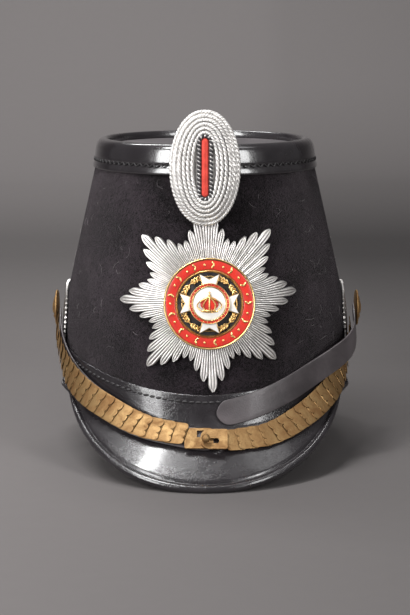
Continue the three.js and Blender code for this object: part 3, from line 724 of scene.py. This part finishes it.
class SHAKO_OT_badge(bpy.types.Operator):
    """Model the oval field badge: rings of wound silver cord around a red core"""
    bl_idname = "shako.badge"
    bl_label = "Field badge"

    def execute(self, context):
        axes = badge_axes()
        rings = context.scene.shako_sizes.badge_rings
        dome = [(0, 0), (0.55, 0), (0.93, 0.3), (0.96, 1.4), (0.93, 2.8), (0.82, 3.9), (0.6, 4.6), (0.3, 4.9), (0, 5)]
        count = len(dome) - 1

        def place(u, v):
            share, height = dome[round(v * count)]
            x, y = oval(1, TURN * u)
            return axes @ Vector((x * share, y * share, height * MM))

        body = bent_grid("shako_badge_back", 96, count, place)
        settle(body, "silver_wire", finish_of("silver_wire"), "badge_body", degrees=60)
        cords = []
        first, last = 0.95, 0.36
        pitch = (first - last) / (rings - 1)
        radius = pitch * BADGE_HALF[0] * 0.5
        for i in range(rings):
            share = first - pitch * i
            height = (2.5 + 4.0 * math.sin(math.pi / 2 * min(1, i / (rings - 1.5)))) * MM - radius * 0.3
            cords += self.twist(axes, share, height, radius, f"wire_{i}")
        settle(join("shako_badge_wire", cords), "silver_wire", finish_of("silver_wire"), degrees=80)
        self.core(axes)
        return {"FINISHED"}

    def twist(self, axes, share, height, radius, name):
        """Two strands wound round each other along an oval."""
        x, y = oval(share, 0)[0], oval(share, math.pi / 2)[1]
        length = math.pi * (3 * (x + y) - math.sqrt((3 * x + y) * (x + 3 * y)))
        winds = round(length / (radius * 3.6))
        strands = []
        for phase in (0, math.pi):
            path = []
            steps = winds * 6
            for n in range(steps):
                t = TURN * n / steps
                spot = Vector((*oval(share, t), height))
                ahead = Vector((*oval(share, t + 0.01), height)) - spot
                side = Vector((ahead.y, -ahead.x, 0)).normalized()
                wind = winds * t + phase
                reach = radius * 0.46
                path.append(axes @ (spot + side * math.cos(wind) * reach + Vector((0, 0, math.sin(wind) * reach))))
            strands.append(sweep(name, path, radius * 0.6, 6))
        return strands

    def stadium(self, half_across, half_up, t):
        """A place on an upright stadium; t runs from 0 to 1."""
        straight = 2 * (half_up - half_across)
        curve = math.pi * half_across
        way = t * 2 * (straight + curve)
        if way < straight:
            return (half_across, -straight / 2 + way)
        way -= straight
        if way < curve:
            turn = way / half_across
            return (half_across * math.cos(turn), straight / 2 + half_across * math.sin(turn))
        way -= curve
        if way < straight:
            return (-half_across, straight / 2 - way)
        turn = (way - straight) / half_across
        return (-half_across * math.cos(turn), -straight / 2 - half_across * math.sin(turn))

    def core(self, axes):
        """The red core, ribbed across, inside a cord of one black and one silver strand."""
        height = 6.3 * MM
        reach, up = 3.35 * MM, 17.6 * MM
        winds, steps = 34, 34 * 8
        for phase, slot, name in ((0, "twisted_cord", "shako_badge_cord_dark"), (math.pi, "silver_wire", "shako_badge_cord_light")):
            path = []
            for n in range(steps):
                t = n / steps
                spot = Vector((*self.stadium(reach, up, t), height))
                ahead = Vector((*self.stadium(reach, up, (t + 0.002) % 1), height)) - spot
                side = Vector((ahead.y, -ahead.x, 0)).normalized()
                wind = TURN * winds * t + phase
                path.append(axes @ (spot + (side * math.cos(wind) + Vector((0, 0, math.sin(wind)))) * 0.52 * MM))
            cord = sweep(name, path, (0.42 if phase else 0.78) * MM, 8)
            if phase == 0:
                settle(cord, "twisted_cord", finish_of(slot), "badge_cord", degrees=80)
            else:
                settle(cord, "silver_wire", finish_of(slot), degrees=80)
        ribs = 44

        def place(u, v):
            x, y = self.stadium(2.0 * MM, 16.3 * MM, u)
            share, h = [(0, 4.8), (1, 4.8), (1, 5.9), (0.82, 6.6), (0.45, 7.0), (0, 7.1)][round(v * 5)]
            rib = 0.12 * MM * math.cos(TURN * ribs * y / (33 * MM))
            return axes @ Vector((x * share, y * (0.94 + 0.06 * share) if share else y * 0.94, h * MM + rib))

        core = bent_grid("shako_badge_core", 176, 5, place)
        settle(core, "red_thread", finish_of("red_thread"), "badge_core", degrees=60)


# ---- Star ----

STAR_Z = 99.7 * MM
STAR_SHIFT = 2.4 * MM
STAR_ROLL = math.radians(2.5)
STAR_POINTS = 8
RAYS_PER_POINT = 7
RIBS = 3
STAR_HOLE = 20 * MM


class SHAKO_OT_star(bpy.types.Operator):
    """Model the ray star: ribbed rays with rounded tips, laid on the curve of the body"""
    bl_idname = "shako.star"
    bl_label = "Star"

    def execute(self, context):
        radius = context.scene.shako_sizes.star_radius
        rays = STAR_POINTS * RAYS_PER_POINT
        pieces = []
        for ray in range(rays):
            near = min(ray % RAYS_PER_POINT, RAYS_PER_POINT - ray % RAYS_PER_POINT)
            length = radius * (1 - 0.125 * near + 0.007 * near * near)
            lift = (0.25 if ray % 2 else 0.0) + 0.12 * near
            pieces.append(self.ray(STAR_ROLL + math.pi / 2 + TURN * ray / rays, length, TURN / rays, lift * MM))
        star = join("shako_star", pieces)
        settle(star, "silver", finish_of("ray_silver_groove_shade"), "star_plate", degrees=40)
        return {"FINISHED"}

    def ray(self, turn, length, step, lift):
        """One ray with three ribs and a rounded tip."""
        across, along = 18, 10
        ribs = RIBS

        def place(u, v):
            top = v <= 0.5
            w = (v * 2 if top else (1 - v) * 2)
            r = STAR_HOLE + (length - STAR_HOLE) * (1 - (1 - u) ** 1.6)
            half = math.tan(step / 2) * r * 1.03
            tip = min(1, (length - r) / (5.5 * MM))
            half *= max(0.12, 1 - (1 - tip) ** 2.6) ** 0.75
            side = (w * 2 - 1)
            rib = abs(math.sin(math.pi * ribs * w)) ** 0.7
            crown = (1 - side * side) ** 0.5 if abs(side) < 1 else 0
            height = 0.9 * MM
            if top:
                height = 1.15 * MM + lift + (0.6 * crown + 0.75 * rib) * MM * (0.5 + 0.5 * tip)
            x = r * math.cos(turn) - half * side * math.sin(turn)
            y = r * math.sin(turn) + half * side * math.cos(turn)
            return drape(STAR_SHIFT + 1.045 * x, y, height, 0, STAR_Z)

        return bent_grid("ray", along, 2 * across, place)


# ---- Enamelled centre ----

def centre_axes():
    """Axes of the enamelled centre: X right, Y up its face and Z out of it, from its back."""
    turn = Matrix.Rotation(math.pi / 2 - math.atan(FRONT_TAPER), 4, "X")
    spot = middle("medallion_ring") - turn @ Vector((0, 0, 5.625 * MM))
    return Matrix.Translation(spot) @ turn


RIM = 25.7 * MM
RING = 18.5 * MM
WREATH = 15.3 * MM
CROSS = 16.4 * MM
MEDALLION = 11.4 * MM


def ring_profile(inner, outer, low, high, round_off=0.3):
    """Section of a flat ring with rounded upper corners; heights in millimetres."""
    r = round_off * MM
    low, high = low * MM, high * MM
    return [(inner, low), (outer, low), (outer, high - r), (outer - 0.3 * r, high - 0.3 * r), (outer - r, high),
            (inner + r, high), (inner + 0.3 * r, high - 0.3 * r), (inner, high - r)]


class SHAKO_OT_enamel(bpy.types.Operator):
    """Model the enamelled centre: gilt dish, red ring, black field, wreath, cross and medallion"""
    bl_idname = "shako.enamel"
    bl_label = "Enamelled centre"

    def execute(self, context):
        axes = centre_axes()
        self.dish(axes)
        self.fields(axes)
        self.cross(axes)
        self.wreath(axes)
        self.crown(axes)
        return {"FINISHED"}

    def dish(self, axes):
        rim, ring = RIM, RING
        profile = [
            (0, 0), (10 * MM, 0), (16 * MM, 0), (20.5 * MM, 0), (rim, 0), (rim, 2.9 * MM), (rim - 0.12 * MM, 3.25 * MM),
            (rim - 0.45 * MM, 3.4 * MM), (rim - 0.8 * MM, 3.2 * MM), (rim - 0.9 * MM, 1.5 * MM),
            (ring + 0.5 * MM, 1.5 * MM), (ring + 0.4 * MM, 3.1 * MM), (ring, 3.4 * MM), (ring - 0.4 * MM, 3.1 * MM),
            (ring - 0.5 * MM, 1.5 * MM), (0, 1.5 * MM),
        ]
        reach = (half_width(STAR_Z) + half_length(STAR_Z)) / 2
        local = lathe("shako_star_dish", profile, 96, Matrix.Identity(4))
        for vertex in local.data.vertices:
            if vertex.co.z < 0.01 * MM:
                vertex.co.z = -0.85 * vertex.co.x ** 2 / (2 * reach)
        local.data.transform(axes)
        settle(local, "gilt", finish_of("gilt"), "star_base", degrees=50)

    def fields(self, axes):
        red = lathe("shako_red_ring", ring_profile(RING + 0.8 * MM, RIM - 1.2 * MM, 1.85, 2.9), 96, axes)
        settle(red, "red_enamel", finish_of("red_enamel"), "red_ring")
        profile = [(0, 1.85), (17.7, 1.85), (17.7, 2.3), (17.4, 2.4), (0, 2.4)]
        black = lathe("shako_black_field", [(r * MM, h * MM) for r, h in profile], 96, axes)
        settle(black, "black_enamel", finish_of("black_enamel"), "black_field")
        ring = lathe("shako_medallion_ring", ring_profile(9.9 * MM, MEDALLION - 0.4 * MM, 5.15, 6.0), 72, axes)
        settle(ring, "red_enamel", finish_of("red_enamel"), "medallion_ring")
        edges = [
            lathe("edge", ring_profile(MEDALLION - 0.4 * MM, MEDALLION, 5.15, 6.2, 0.18), 72, axes),
            lathe("edge", ring_profile(9.3 * MM, 9.85 * MM, 5.15, 6.2, 0.18), 72, axes),
        ]
        beads = []
        for radius, count, height in (((RIM + RING - 0.4 * MM) / 2, 26, 2.95), ((9.9 * MM + MEDALLION - 0.4 * MM) / 2, 30, 6.0)):
            for i in range(count):
                turn = TURN * i / count
                spot = Matrix.Rotation(turn, 4, "Z") @ Matrix.Translation((radius, 0, height * MM))
                big = height < 4
                if big and i % 2 == 0:
                    for lean in (-0.6, 0.6):
                        leaf = axes @ spot @ Matrix.Rotation(lean, 4, "Z")
                        leaf = leaf @ Matrix.Translation((1.0 * MM if lean > 0 else -1.0 * MM, 0, 0))
                        beads.append(bead("leaf", leaf, (1.5 * MM, 0.62 * MM, 0.45 * MM)))
                else:
                    size = 0.75 * MM if big else 0.3 * MM
                    beads.append(bead("dot", axes @ spot, (size, size, 0.5 * MM if big else 0.25 * MM), 8, 5))
        settle(join("shako_ring_ornament", edges + beads), "gilt", finish_of("gilt"), degrees=60)
        disc = [(0, 5.15), (9.1, 5.15), (9.1, 5.5), (8.8, 5.68), (6, 5.85), (3, 5.95), (0, 6.0)]
        white = lathe("shako_medallion", [(r * MM, h * MM) for r, h in disc], 72, axes)
        settle(white, "white_enamel", finish_of("white_enamel"), "medallion")

    def arm(self, grow):
        """Outline of one arm of the cross, pointing along +X, made larger by grow."""
        g = grow * MM
        out = CROSS + 0.6 * g
        return [(3 * MM, -2.6 * MM - g), (9 * MM, -3.3 * MM - g), (out, -5.5 * MM - g), (CROSS - 2.9 * MM + g, 0),
                (out, 5.5 * MM + g), (9 * MM, 3.3 * MM + g), (3 * MM, 2.6 * MM + g)]

    def cross(self, axes):
        for grow, low, high, slot, name, nodes in (
                (0.45, 3.7, 4.35, "gilt", "shako_cross_edge", ()),
                (-0.15, 4.3, 4.8, "white_enamel", "shako_cross", ("cross",))):
            arms = []
            for i in range(4):
                turn = axes @ Matrix.Rotation(i * math.pi / 2, 4, "Z")
                arms.append(plate("arm", self.arm(grow), low * MM, high * MM, turn, 0.15 * MM))
            settle(join(name, arms), slot, finish_of(slot), *nodes, degrees=30)

    def wreath(self, axes):
        """Garlands of small leaves between the arms of the cross, on a plain ring."""
        parts = [lathe("ring", ring_profile(WREATH - 0.3 * MM, WREATH + 0.3 * MM, 2.75, 3.1), 72, axes)]
        for quarter in range(4):
            for i in (-3, -2, -1, 1, 2, 3):
                turn = math.pi / 4 + quarter * math.pi / 2 + i * 0.115
                for side in (-1, 1):
                    spot = Matrix.Rotation(turn, 4, "Z") @ Matrix.Translation((WREATH + side * 0.75 * MM, 0, 3.2 * MM))
                    lean = math.pi / 2 + side * 0.6 * (1 if i < 0 else -1)
                    parts.append(bead("leaf", axes @ spot @ Matrix.Rotation(lean, 4, "Z"), (1.5 * MM, 0.55 * MM, 0.5 * MM), 10, 6))
        settle(join("shako_wreath", parts), "gilt", finish_of("gilt"), "wreath", degrees=60)

    def crown(self, axes):
        """A small closed crown in relief: band, five arches, red cap, orb and cross."""
        at = axes @ Matrix.Translation((0, 0.3 * MM, 6.2 * MM))
        parts = [bead("band", at @ Matrix.Translation((0, -4.6 * MM, 0)), (4.9 * MM, 0.85 * MM, 0.7 * MM), 16, 8)]
        for i in range(-3, 4):
            parts.append(bead("pearl", at @ Matrix.Translation((1.35 * i * MM, -4.6 * MM, 0.6 * MM)), (0.36 * MM,) * 3, 8, 6))
        for lean in (-1.0, -0.5, 0, 0.5, 1.0):
            path = []
            for n in range(9):
                t = n / 8
                swell = math.sin(math.pi * (0.25 + 0.75 * t)) * 6.6 * lean + (1 - t) * 0.3 * lean
                path.append(at @ Vector((swell * MM, (-4.0 + 7.6 * t) * MM, (0.35 + 0.45 * math.sin(math.pi * t)) * MM)))
            parts.append(sweep("arch", path, 0.42 * MM, 6, False))
        parts.append(bead("orb", at @ Matrix.Translation((0, 4.3 * MM, 0.4 * MM)), (0.85 * MM,) * 3, 10, 8))
        for radii in ((0.28, 1.1), (0.9, 0.28)):
            parts.append(bead("top", at @ Matrix.Translation((0, 5.8 * MM, 0.4 * MM)), (radii[0] * MM, radii[1] * MM, 0.3 * MM), 8, 6))
        settle(join("shako_crown_relief", parts), "gilt", finish_of("gilt"), "crown_relief", degrees=60)
        cap = bead("shako_crown_cap", at @ Matrix.Translation((0, -0.3 * MM, 0)), (5.2 * MM, 3.8 * MM, 0.6 * MM), 24, 12)
        settle(cap, "red_enamel", finish_of("red_enamel"), degrees=60)


# ---- Cockades and rosettes ----

COCKADE_Z = 74.5 * MM


class SHAKO_OT_cockades(bpy.types.Operator):
    """Model the two side cockades and the brass rosettes on them"""
    bl_idname = "shako.cockades"
    bl_label = "Cockades and rosettes"

    def execute(self, context):
        for word, side in (("left", -1), ("right", 1)):
            self.ring(word, side, 13.2, 22.8, 64, "black_enamel", f"cockade_{word}")
            self.ring(word, side, 6.0, 12.8, 40, "silver", f"cockade_ring_{word}")
            self.ring(word, side, 20.4, 23.4, 48, "silver", f"cockade_edge_{word}", 0.3)
            self.rosette(word, side)
        return {"FINISHED"}

    def ring(self, word, side, inner, outer, teeth, slot, node, lift=0.0):
        """A draped ring with fine radial flutes and a serrated edge."""
        section = [(0, 0.4), (0.5, 0.4), (1, 0.4), (1, 0.9), (0.94, 1.35), (0.6, 1.5), (0.3, 1.55), (0.04, 1.3)]
        black = slot == "black_enamel"

        def place(u, v):
            share, height = section[round(v * 8) % 8]
            flute = math.cos(TURN * teeth * u)
            edge = outer - (0.6 * (1 - flute) if black or lift else 0.15 * (1 - flute))
            r = (inner + (edge - inner) * share) * MM
            rise = (lift + height + (0.2 * flute * share if height > 1 else 0)) * MM
            return drape(r * math.cos(TURN * u), r * math.sin(TURN * u), rise, side * math.pi / 2, COCKADE_Z)

        piece = bent_grid(f"shako_{node}", teeth * 4, 8, place)
        settle(piece, slot, finish_of(slot), *([] if lift else [node]), degrees=40)

    def rosette(self, word, side):
        """A struck boss: a beaded rim, a ring of petals and a domed middle."""
        low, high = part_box(f"rosette_{word}")
        back = low[0] if side > 0 else high[0]
        spot = Vector((back, (low[1] + high[1]) / 2, (low[2] + high[2]) / 2))
        axes = Matrix.Translation(spot) @ Matrix.Rotation(side * math.pi / 2, 4, "Y")
        petals = 10
        profile = [(0, 0), (10.4, 0), (11, 0.4), (10.9, 1.0), (10.2, 1.35), (9.4, 1.0), (8.4, 1.0), (7.2, 1.8), (5.6, 2.5),
                   (4.2, 2.2), (3.8, 2.5), (3.2, 3.2), (1.8, 3.45), (0, 3.5)]

        def place(u, v):
            radius, height = profile[round(v * 13)]
            wave = math.cos(TURN * petals * u)
            if 4.5 < radius < 9 and height > 0:
                height += 0.28 * wave
            if height > 0 and radius > 9.5:
                height += 0.12 * math.cos(TURN * 48 * u)
            return axes @ Vector((radius * MM * math.cos(TURN * u), radius * MM * math.sin(TURN * u), height * MM))

        piece = bent_grid(f"shako_rosette_{word}", 192, 13, place)
        settle(piece, "brass", finish_of("brass"), f"rosette_{word}", degrees=50)


# ---- Chin scales ----

SCALE_WIDTH = 14 * MM
SCALE_LENGTH = 11.4 * MM
SCALE_PITCH = 7.2 * MM
SCALE_RISE = 1.35 * MM
SCALE_SHEET = 0.5 * MM
SCALE_THICK = 0.7 * MM
SCALES = 15


def scale_axes(node):
    """Axes of one plain scale: X to its free edge, Z out, from the middle of its root."""
    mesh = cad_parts[node].data
    areas = {}
    for face in mesh.polygons:
        key = tuple(round(value, 1) + 0.0 for value in face.normal)
        total, normal, centre = areas.get(key, (0, Vector(), Vector()))
        areas[key] = (total + face.area, normal + face.normal * face.area, centre + face.center * face.area)
    ranked = sorted(areas.values(), key=lambda entry: -entry[0])
    flats = ranked[:2]
    core = Vector((BODY_MIDDLE.x, BODY_MIDDLE.y, middle(node).z - 20 * MM))
    outer = max(flats, key=lambda entry: entry[1].normalized().dot((middle(node) - core).normalized()))
    out = outer[1].normalized()
    ends = [entry for entry in ranked[2:5] if abs(entry[1].normalized().dot(out)) < 0.3]
    root = max(ends, key=lambda entry: entry[0])
    along = -root[1].normalized()
    along = (along - out * along.dot(out)).normalized()
    across = out.cross(along)
    spot = root[2] / root[0] - out * SCALE_THICK / 2
    return Matrix.Translation(spot) @ Matrix((along, across, out)).transposed().to_4x4()


class ChainPath:
    """The run of one side's scales, from the rosette to the middle of the front."""

    def __init__(self, word, side):
        knots = [scale_axes(f"scale_{word}_{n:02d}") for n in range(1, SCALES + 1)]
        spots = [knot.translation for knot in knots]
        outs = [knot.col[2].to_3d() for knot in knots]
        first = spots[0] * 2 - spots[1]
        ahead = Vector((side, 0, 0))
        leave = (spots[-1] - spots[-2]).normalized()
        chord = (leave + ahead).normalized()
        middle_spot = spots[-1] + chord * abs(spots[-1].x - BODY_MIDDLE.x) / abs(chord.x)
        middle_out = Vector((0, outs[-1].y, outs[-1].z)).normalized()
        beyond = Vector((2 * BODY_MIDDLE.x - spots[-1].x, spots[-1].y, spots[-1].z))
        spots = [first] + spots + [middle_spot, beyond]
        outs = [outs[0]] + outs + [middle_out, middle_out]
        self.spots, self.outs, self.ways = [], [], [0.0]
        for i in range(1, len(spots) - 2):
            for step in range(12):
                t = step / 12
                a, b, c, d = spots[i - 1:i + 3]
                spot = 0.5 * (2 * b + (c - a) * t + (2 * a - 5 * b + 4 * c - d) * t ** 2 + (3 * b - a - 3 * c + d) * t ** 3)
                if self.spots:
                    self.ways.append(self.ways[-1] + (spot - self.spots[-1]).length)
                self.spots.append(spot)
                self.outs.append(outs[i].lerp(outs[i + 1], t).normalized())

    def way_at(self, x):
        """How far along the run passes a sideways place."""
        best = min(range(len(self.spots)), key=lambda i: abs(self.spots[i].x - x) - 0.02 * i * MM)
        return self.ways[best]

    def spot(self, way, across, height):
        """The place at a way along the run, across it and off its bed."""
        way = max(way, -6 * MM)
        i = 0
        while i < len(self.ways) - 2 and self.ways[i + 1] < way:
            i += 1
        share = (way - self.ways[i]) / (self.ways[i + 1] - self.ways[i])
        low, high = max(0, i - 6), min(len(self.spots) - 1, i + 7)
        along = (self.spots[high] - self.spots[low]).normalized()
        out = self.outs[i].lerp(self.outs[i + 1], min(1, max(0, share)))
        out = (out - along * out.dot(along)).normalized()
        here = self.spots[i].lerp(self.spots[i + 1], share)
        return here + out.cross(along) * across + out * height


class SHAKO_OT_scales(bpy.types.Operator):
    """Model the chin scales: arched plates with one large and two small lobes"""
    bl_idname = "shako.scales"
    bl_label = "Chin scales"

    def execute(self, context):
        arch = context.scene.shako_sizes.scale_arch
        for word, side, end in (("left", 1, -9.6 * MM), ("right", -1, 9.4 * MM)):
            path = ChainPath(word, side)
            model = self.scale(side, arch)
            last = path.way_at(BODY_MIDDLE.x + end) - SCALE_LENGTH
            count = int((last + 3 * MM) / SCALE_PITCH) + 1
            pieces = []
            for n in range(count):
                piece = model.copy()
                piece.data = model.data.copy()
                bpy.context.scene.collection.objects.link(piece)
                for vertex in piece.data.vertices:
                    x, y, z = vertex.co
                    vertex.co = path.spot(last - n * SCALE_PITCH + x, y, z)
                pieces.append(piece)
            bpy.data.objects.remove(model)
            nodes = [f"scale_{word}_{n:02d}" for n in range(1, SCALES + 1)]
            settle(join(f"shako_scales_{word}", pieces), "brass", finish_of("brass"), *nodes, degrees=40)
        return {"FINISHED"}

    def scale(self, side, arch):
        """One scale at the origin, with its free edge at +X and its large lobe at side * Y."""
        half = SCALE_WIDTH / 2
        lobes = [(-half + 2.1 * MM, 2.1 * MM), (-half + 6.3 * MM, 2.1 * MM), (half - 2.8 * MM, 2.8 * MM)]
        root = SCALE_LENGTH - 2.8 * MM

        def reach(y):
            """How far the plate goes at a width, from the lobes."""
            best = root - 0.2 * MM
            for centre, radius in lobes:
                if abs(y - centre) < radius:
                    best = max(best, root + 0.9 * math.sqrt(radius ** 2 - (y - centre) ** 2))
            return best

        across, along = 40, 8

        def place(u, v):
            top = v <= 0.5
            t = v * 2 if top else (1 - v) * 2
            y = -half + t * SCALE_WIDTH
            end = reach(y)
            x = end * u ** 0.7
            swell = arch * (1 - (y / half) ** 2)
            edge = max(0.0, 1 - (end - x) / (0.9 * MM))
            groove = math.exp(-((end - x - 1.5 * MM) / (0.5 * MM)) ** 2) * 0.08 * MM
            rise = 0.1 * MM + SCALE_RISE * x / SCALE_LENGTH + swell
            lift = SCALE_SHEET - groove - 0.12 * MM * edge ** 2 if top else 0
            if top and (t < 0.001 or t > 0.999):
                lift -= 0.12 * MM
            return Vector((x, side * y, rise + lift))

        return bent_grid("scale_model", along * 2, across * 2, place)


class SHAKO_OT_clasp(bpy.types.Operator):
    """Model the clasp: a plate with a ball stud, and the keyhole plate over it"""
    bl_idname = "shako.clasp"
    bl_label = "Clasp"

    def execute(self, context):
        for node in ("clasp_button", "clasp_eye"):
            piece = refined(f"shako_{node}", node)
            settle(piece, "brass", finish_of("brass"), node, degrees=25)
        return {"FINISHED"}


def refined(name, node):
    """A welded copy of a CAD node."""
    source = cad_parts[node]
    piece = bpy.data.objects.new(name, source.data.copy())
    bpy.context.scene.collection.objects.link(piece)
    weld(piece, 2e-6)
    return piece


class SHAKO_OT_straps(bpy.types.Operator):
    """Model the loose strap on the right and the backing strap on the left"""
    bl_idname = "shako.straps"
    bl_label = "Straps"

    def execute(self, context):
        for node in ("strap_left", "strap_right"):
            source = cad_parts[node]
            piece = bpy.data.objects.new(f"shako_{node}", source.data.copy())
            bpy.context.scene.collection.objects.link(piece)
            activate(piece)
            bpy.ops.object.mode_set(mode="EDIT")
            bpy.ops.mesh.select_all(action="SELECT")
            bpy.ops.mesh.remove_doubles(threshold=2e-6)
            bpy.ops.mesh.tris_convert_to_quads(face_threshold=math.radians(40), shape_threshold=math.radians(60))
            bpy.ops.object.mode_set(mode="OBJECT")
            modify(piece, "BEVEL", width=0.3 * MM, segments=2, limit_method="ANGLE", angle_limit=math.radians(60))
            modify(piece, "SUBSURF", levels=1, render_levels=1)
            settle(piece, "strap_leather", finish_of("strap_leather"), node, degrees=50)
        return {"FINISHED"}


# ---- Stage, lights and camera ----

class SHAKO_OT_stage(bpy.types.Operator):
    """Add the floor and backdrop, the soft lights and the camera"""
    bl_idname = "shako.stage"
    bl_label = "Stage"

    def execute(self, context):
        self.backdrop()
        self.lights()
        self.camera()
        bpy.context.scene.view_settings.view_transform = "Standard"
        return {"FINISHED"}

    def backdrop(self):
        bend = 0.6
        back = 2.3

        def place(u, v):
            x = (u - 0.5) * 8
            way = v * 6.6 - 2.6
            if way < back - bend:
                return Vector((x, way, 0))
            turn = min((way - back + bend) / bend, math.pi / 2)
            rise = max(0, way - back + bend - bend * math.pi / 2)
            return Vector((x, back - bend + bend * math.sin(turn), bend * (1 - math.cos(turn)) + rise))

        deselect()
        bpy.ops.mesh.primitive_grid_add(x_subdivisions=4, y_subdivisions=132, size=1)
        floor = bpy.context.object
        floor.name = "stage_floor"
        for vertex in floor.data.vertices:
            vertex.co = place(vertex.co.x + 0.5, vertex.co.y + 0.5)
        shade = Shade("pale_paper_painted_shade", specular_ior_level=0.1)
        hue = tuple(bpy.context.scene.shako_colours.floor)
        fine = shade.noise(90, 4)
        spread = shade.node("ShaderNodeSeparateXYZ", {}, {"Vector": shade.place})
        depth = Signal(shade, spread.socket.node.outputs["Y"])
        # Painted shade and light: the floor darkens going back from the hat, then lightens again towards the backdrop.
        painted_depth_shade = 0.6 * shade.remap(depth, 0.0, 0.8) - 0.9 * shade.remap(depth, 0.95, 2.1)
        # Painted shade to the side as well: darker towards +X.
        painted_shade_tone = shade.mix(painted_depth_shade + 0.36 * shade.remap(spread, -0.12, 0.16), tint(hue, 1.0), tint(hue, 0.2))
        shade.feed("Base Color", shade.mix(0.06 * fine, painted_shade_tone, tint(hue, 0.5)))
        shade.feed("Roughness", 0.8 + 0.1 * fine)
        floor.data.materials.append(shade.material)
        smooth(floor, 60)

    def lights(self):
        aim = Vector((0, 0, 0.1))
        boxes = (
            ("key_left", (-0.98, -1.0, 0.62), (0.46, 1.05), 22),
            ("fill_right", (0.95, -1.05, 0.6), (0.34, 0.95), 13),
            ("over_left", (-0.37, -0.25, 1.2), (0.12, 0.7), 14),
            ("over_right", (0.42, -0.2, 1.2), (0.3, 0.6), 1.6),
            ("back_wall", (-0.4, 0.9, 1.7), (1.4, 0.6), 55),
        )
        for name, place, size, power in boxes:
            lamp = bpy.data.lights.new(name, "AREA")
            lamp.shape = "RECTANGLE"
            lamp.size, lamp.size_y = size
            lamp.energy = power
            box = bpy.data.objects.new(name, lamp)
            bpy.context.scene.collection.objects.link(box)
            box.location = place
            target = Vector((0, 2.2, 0.35)) if name == "back_wall" else aim
            box.rotation_euler = (target - Vector(place)).to_track_quat("-Z", "Y").to_euler()
        world = bpy.data.worlds.new("studio")
        bpy.context.scene.world = world
        world.use_nodes = True
        world.node_tree.nodes["Background"].inputs["Color"].default_value = (0.95, 0.93, 0.95, 1)
        world.node_tree.nodes["Background"].inputs["Strength"].default_value = 0.12

    def camera(self):
        lens = bpy.data.cameras.new("camera")
        lens.sensor_width = 36
        lens.lens = 91
        lens.clip_start = 0.01
        eye = bpy.data.objects.new("camera", lens)
        bpy.context.scene.collection.objects.link(eye)
        eye.location = (BODY_MIDDLE.x, BODY_MIDDLE.y - 0.95, 0.246)
        eye.rotation_euler = (math.radians(90 - 9.92), 0, 0)
        bpy.context.scene.camera = eye


STEPS = (SHAKO_OT_felt, SHAKO_OT_crown, SHAKO_OT_peaks, SHAKO_OT_badge, SHAKO_OT_star, SHAKO_OT_enamel,
         SHAKO_OT_cockades, SHAKO_OT_scales, SHAKO_OT_clasp, SHAKO_OT_straps, SHAKO_OT_stage)


class SHAKO_PT_panel(bpy.types.Panel):
    """Sidebar panel that lists the pieces of the shako"""
    bl_label = "Shako"
    bl_idname = "SHAKO_PT_panel"
    bl_space_type = "VIEW_3D"
    bl_region_type = "UI"
    bl_category = "Shako"

    def draw(self, context):
        for settings in (context.scene.shako_colours, context.scene.shako_sizes):
            for key in settings.bl_rna.properties.keys():
                if key not in ("rna_type", "name"):
                    self.layout.prop(settings, key)
        for step in STEPS:
            self.layout.operator(step.bl_idname)


CLASSES = (ShakoColours, ShakoSizes, *STEPS, SHAKO_PT_panel)


def register():
    for entry in CLASSES:
        bpy.utils.register_class(entry)
    bpy.types.Scene.shako_colours = bpy.props.PointerProperty(type=ShakoColours)
    bpy.types.Scene.shako_sizes = bpy.props.PointerProperty(type=ShakoSizes)


def unregister():
    del bpy.types.Scene.shako_sizes
    del bpy.types.Scene.shako_colours
    for entry in reversed(CLASSES):
        bpy.utils.unregister_class(entry)


def main():
    register()
    for step in STEPS:
        family, action = step.bl_idname.split(".")
        result = getattr(getattr(bpy.ops, family), action)()
        if result != {"FINISHED"}:
            raise RuntimeError(f"{step.bl_label} could not be built")


if __name__ == "__main__":
    main()
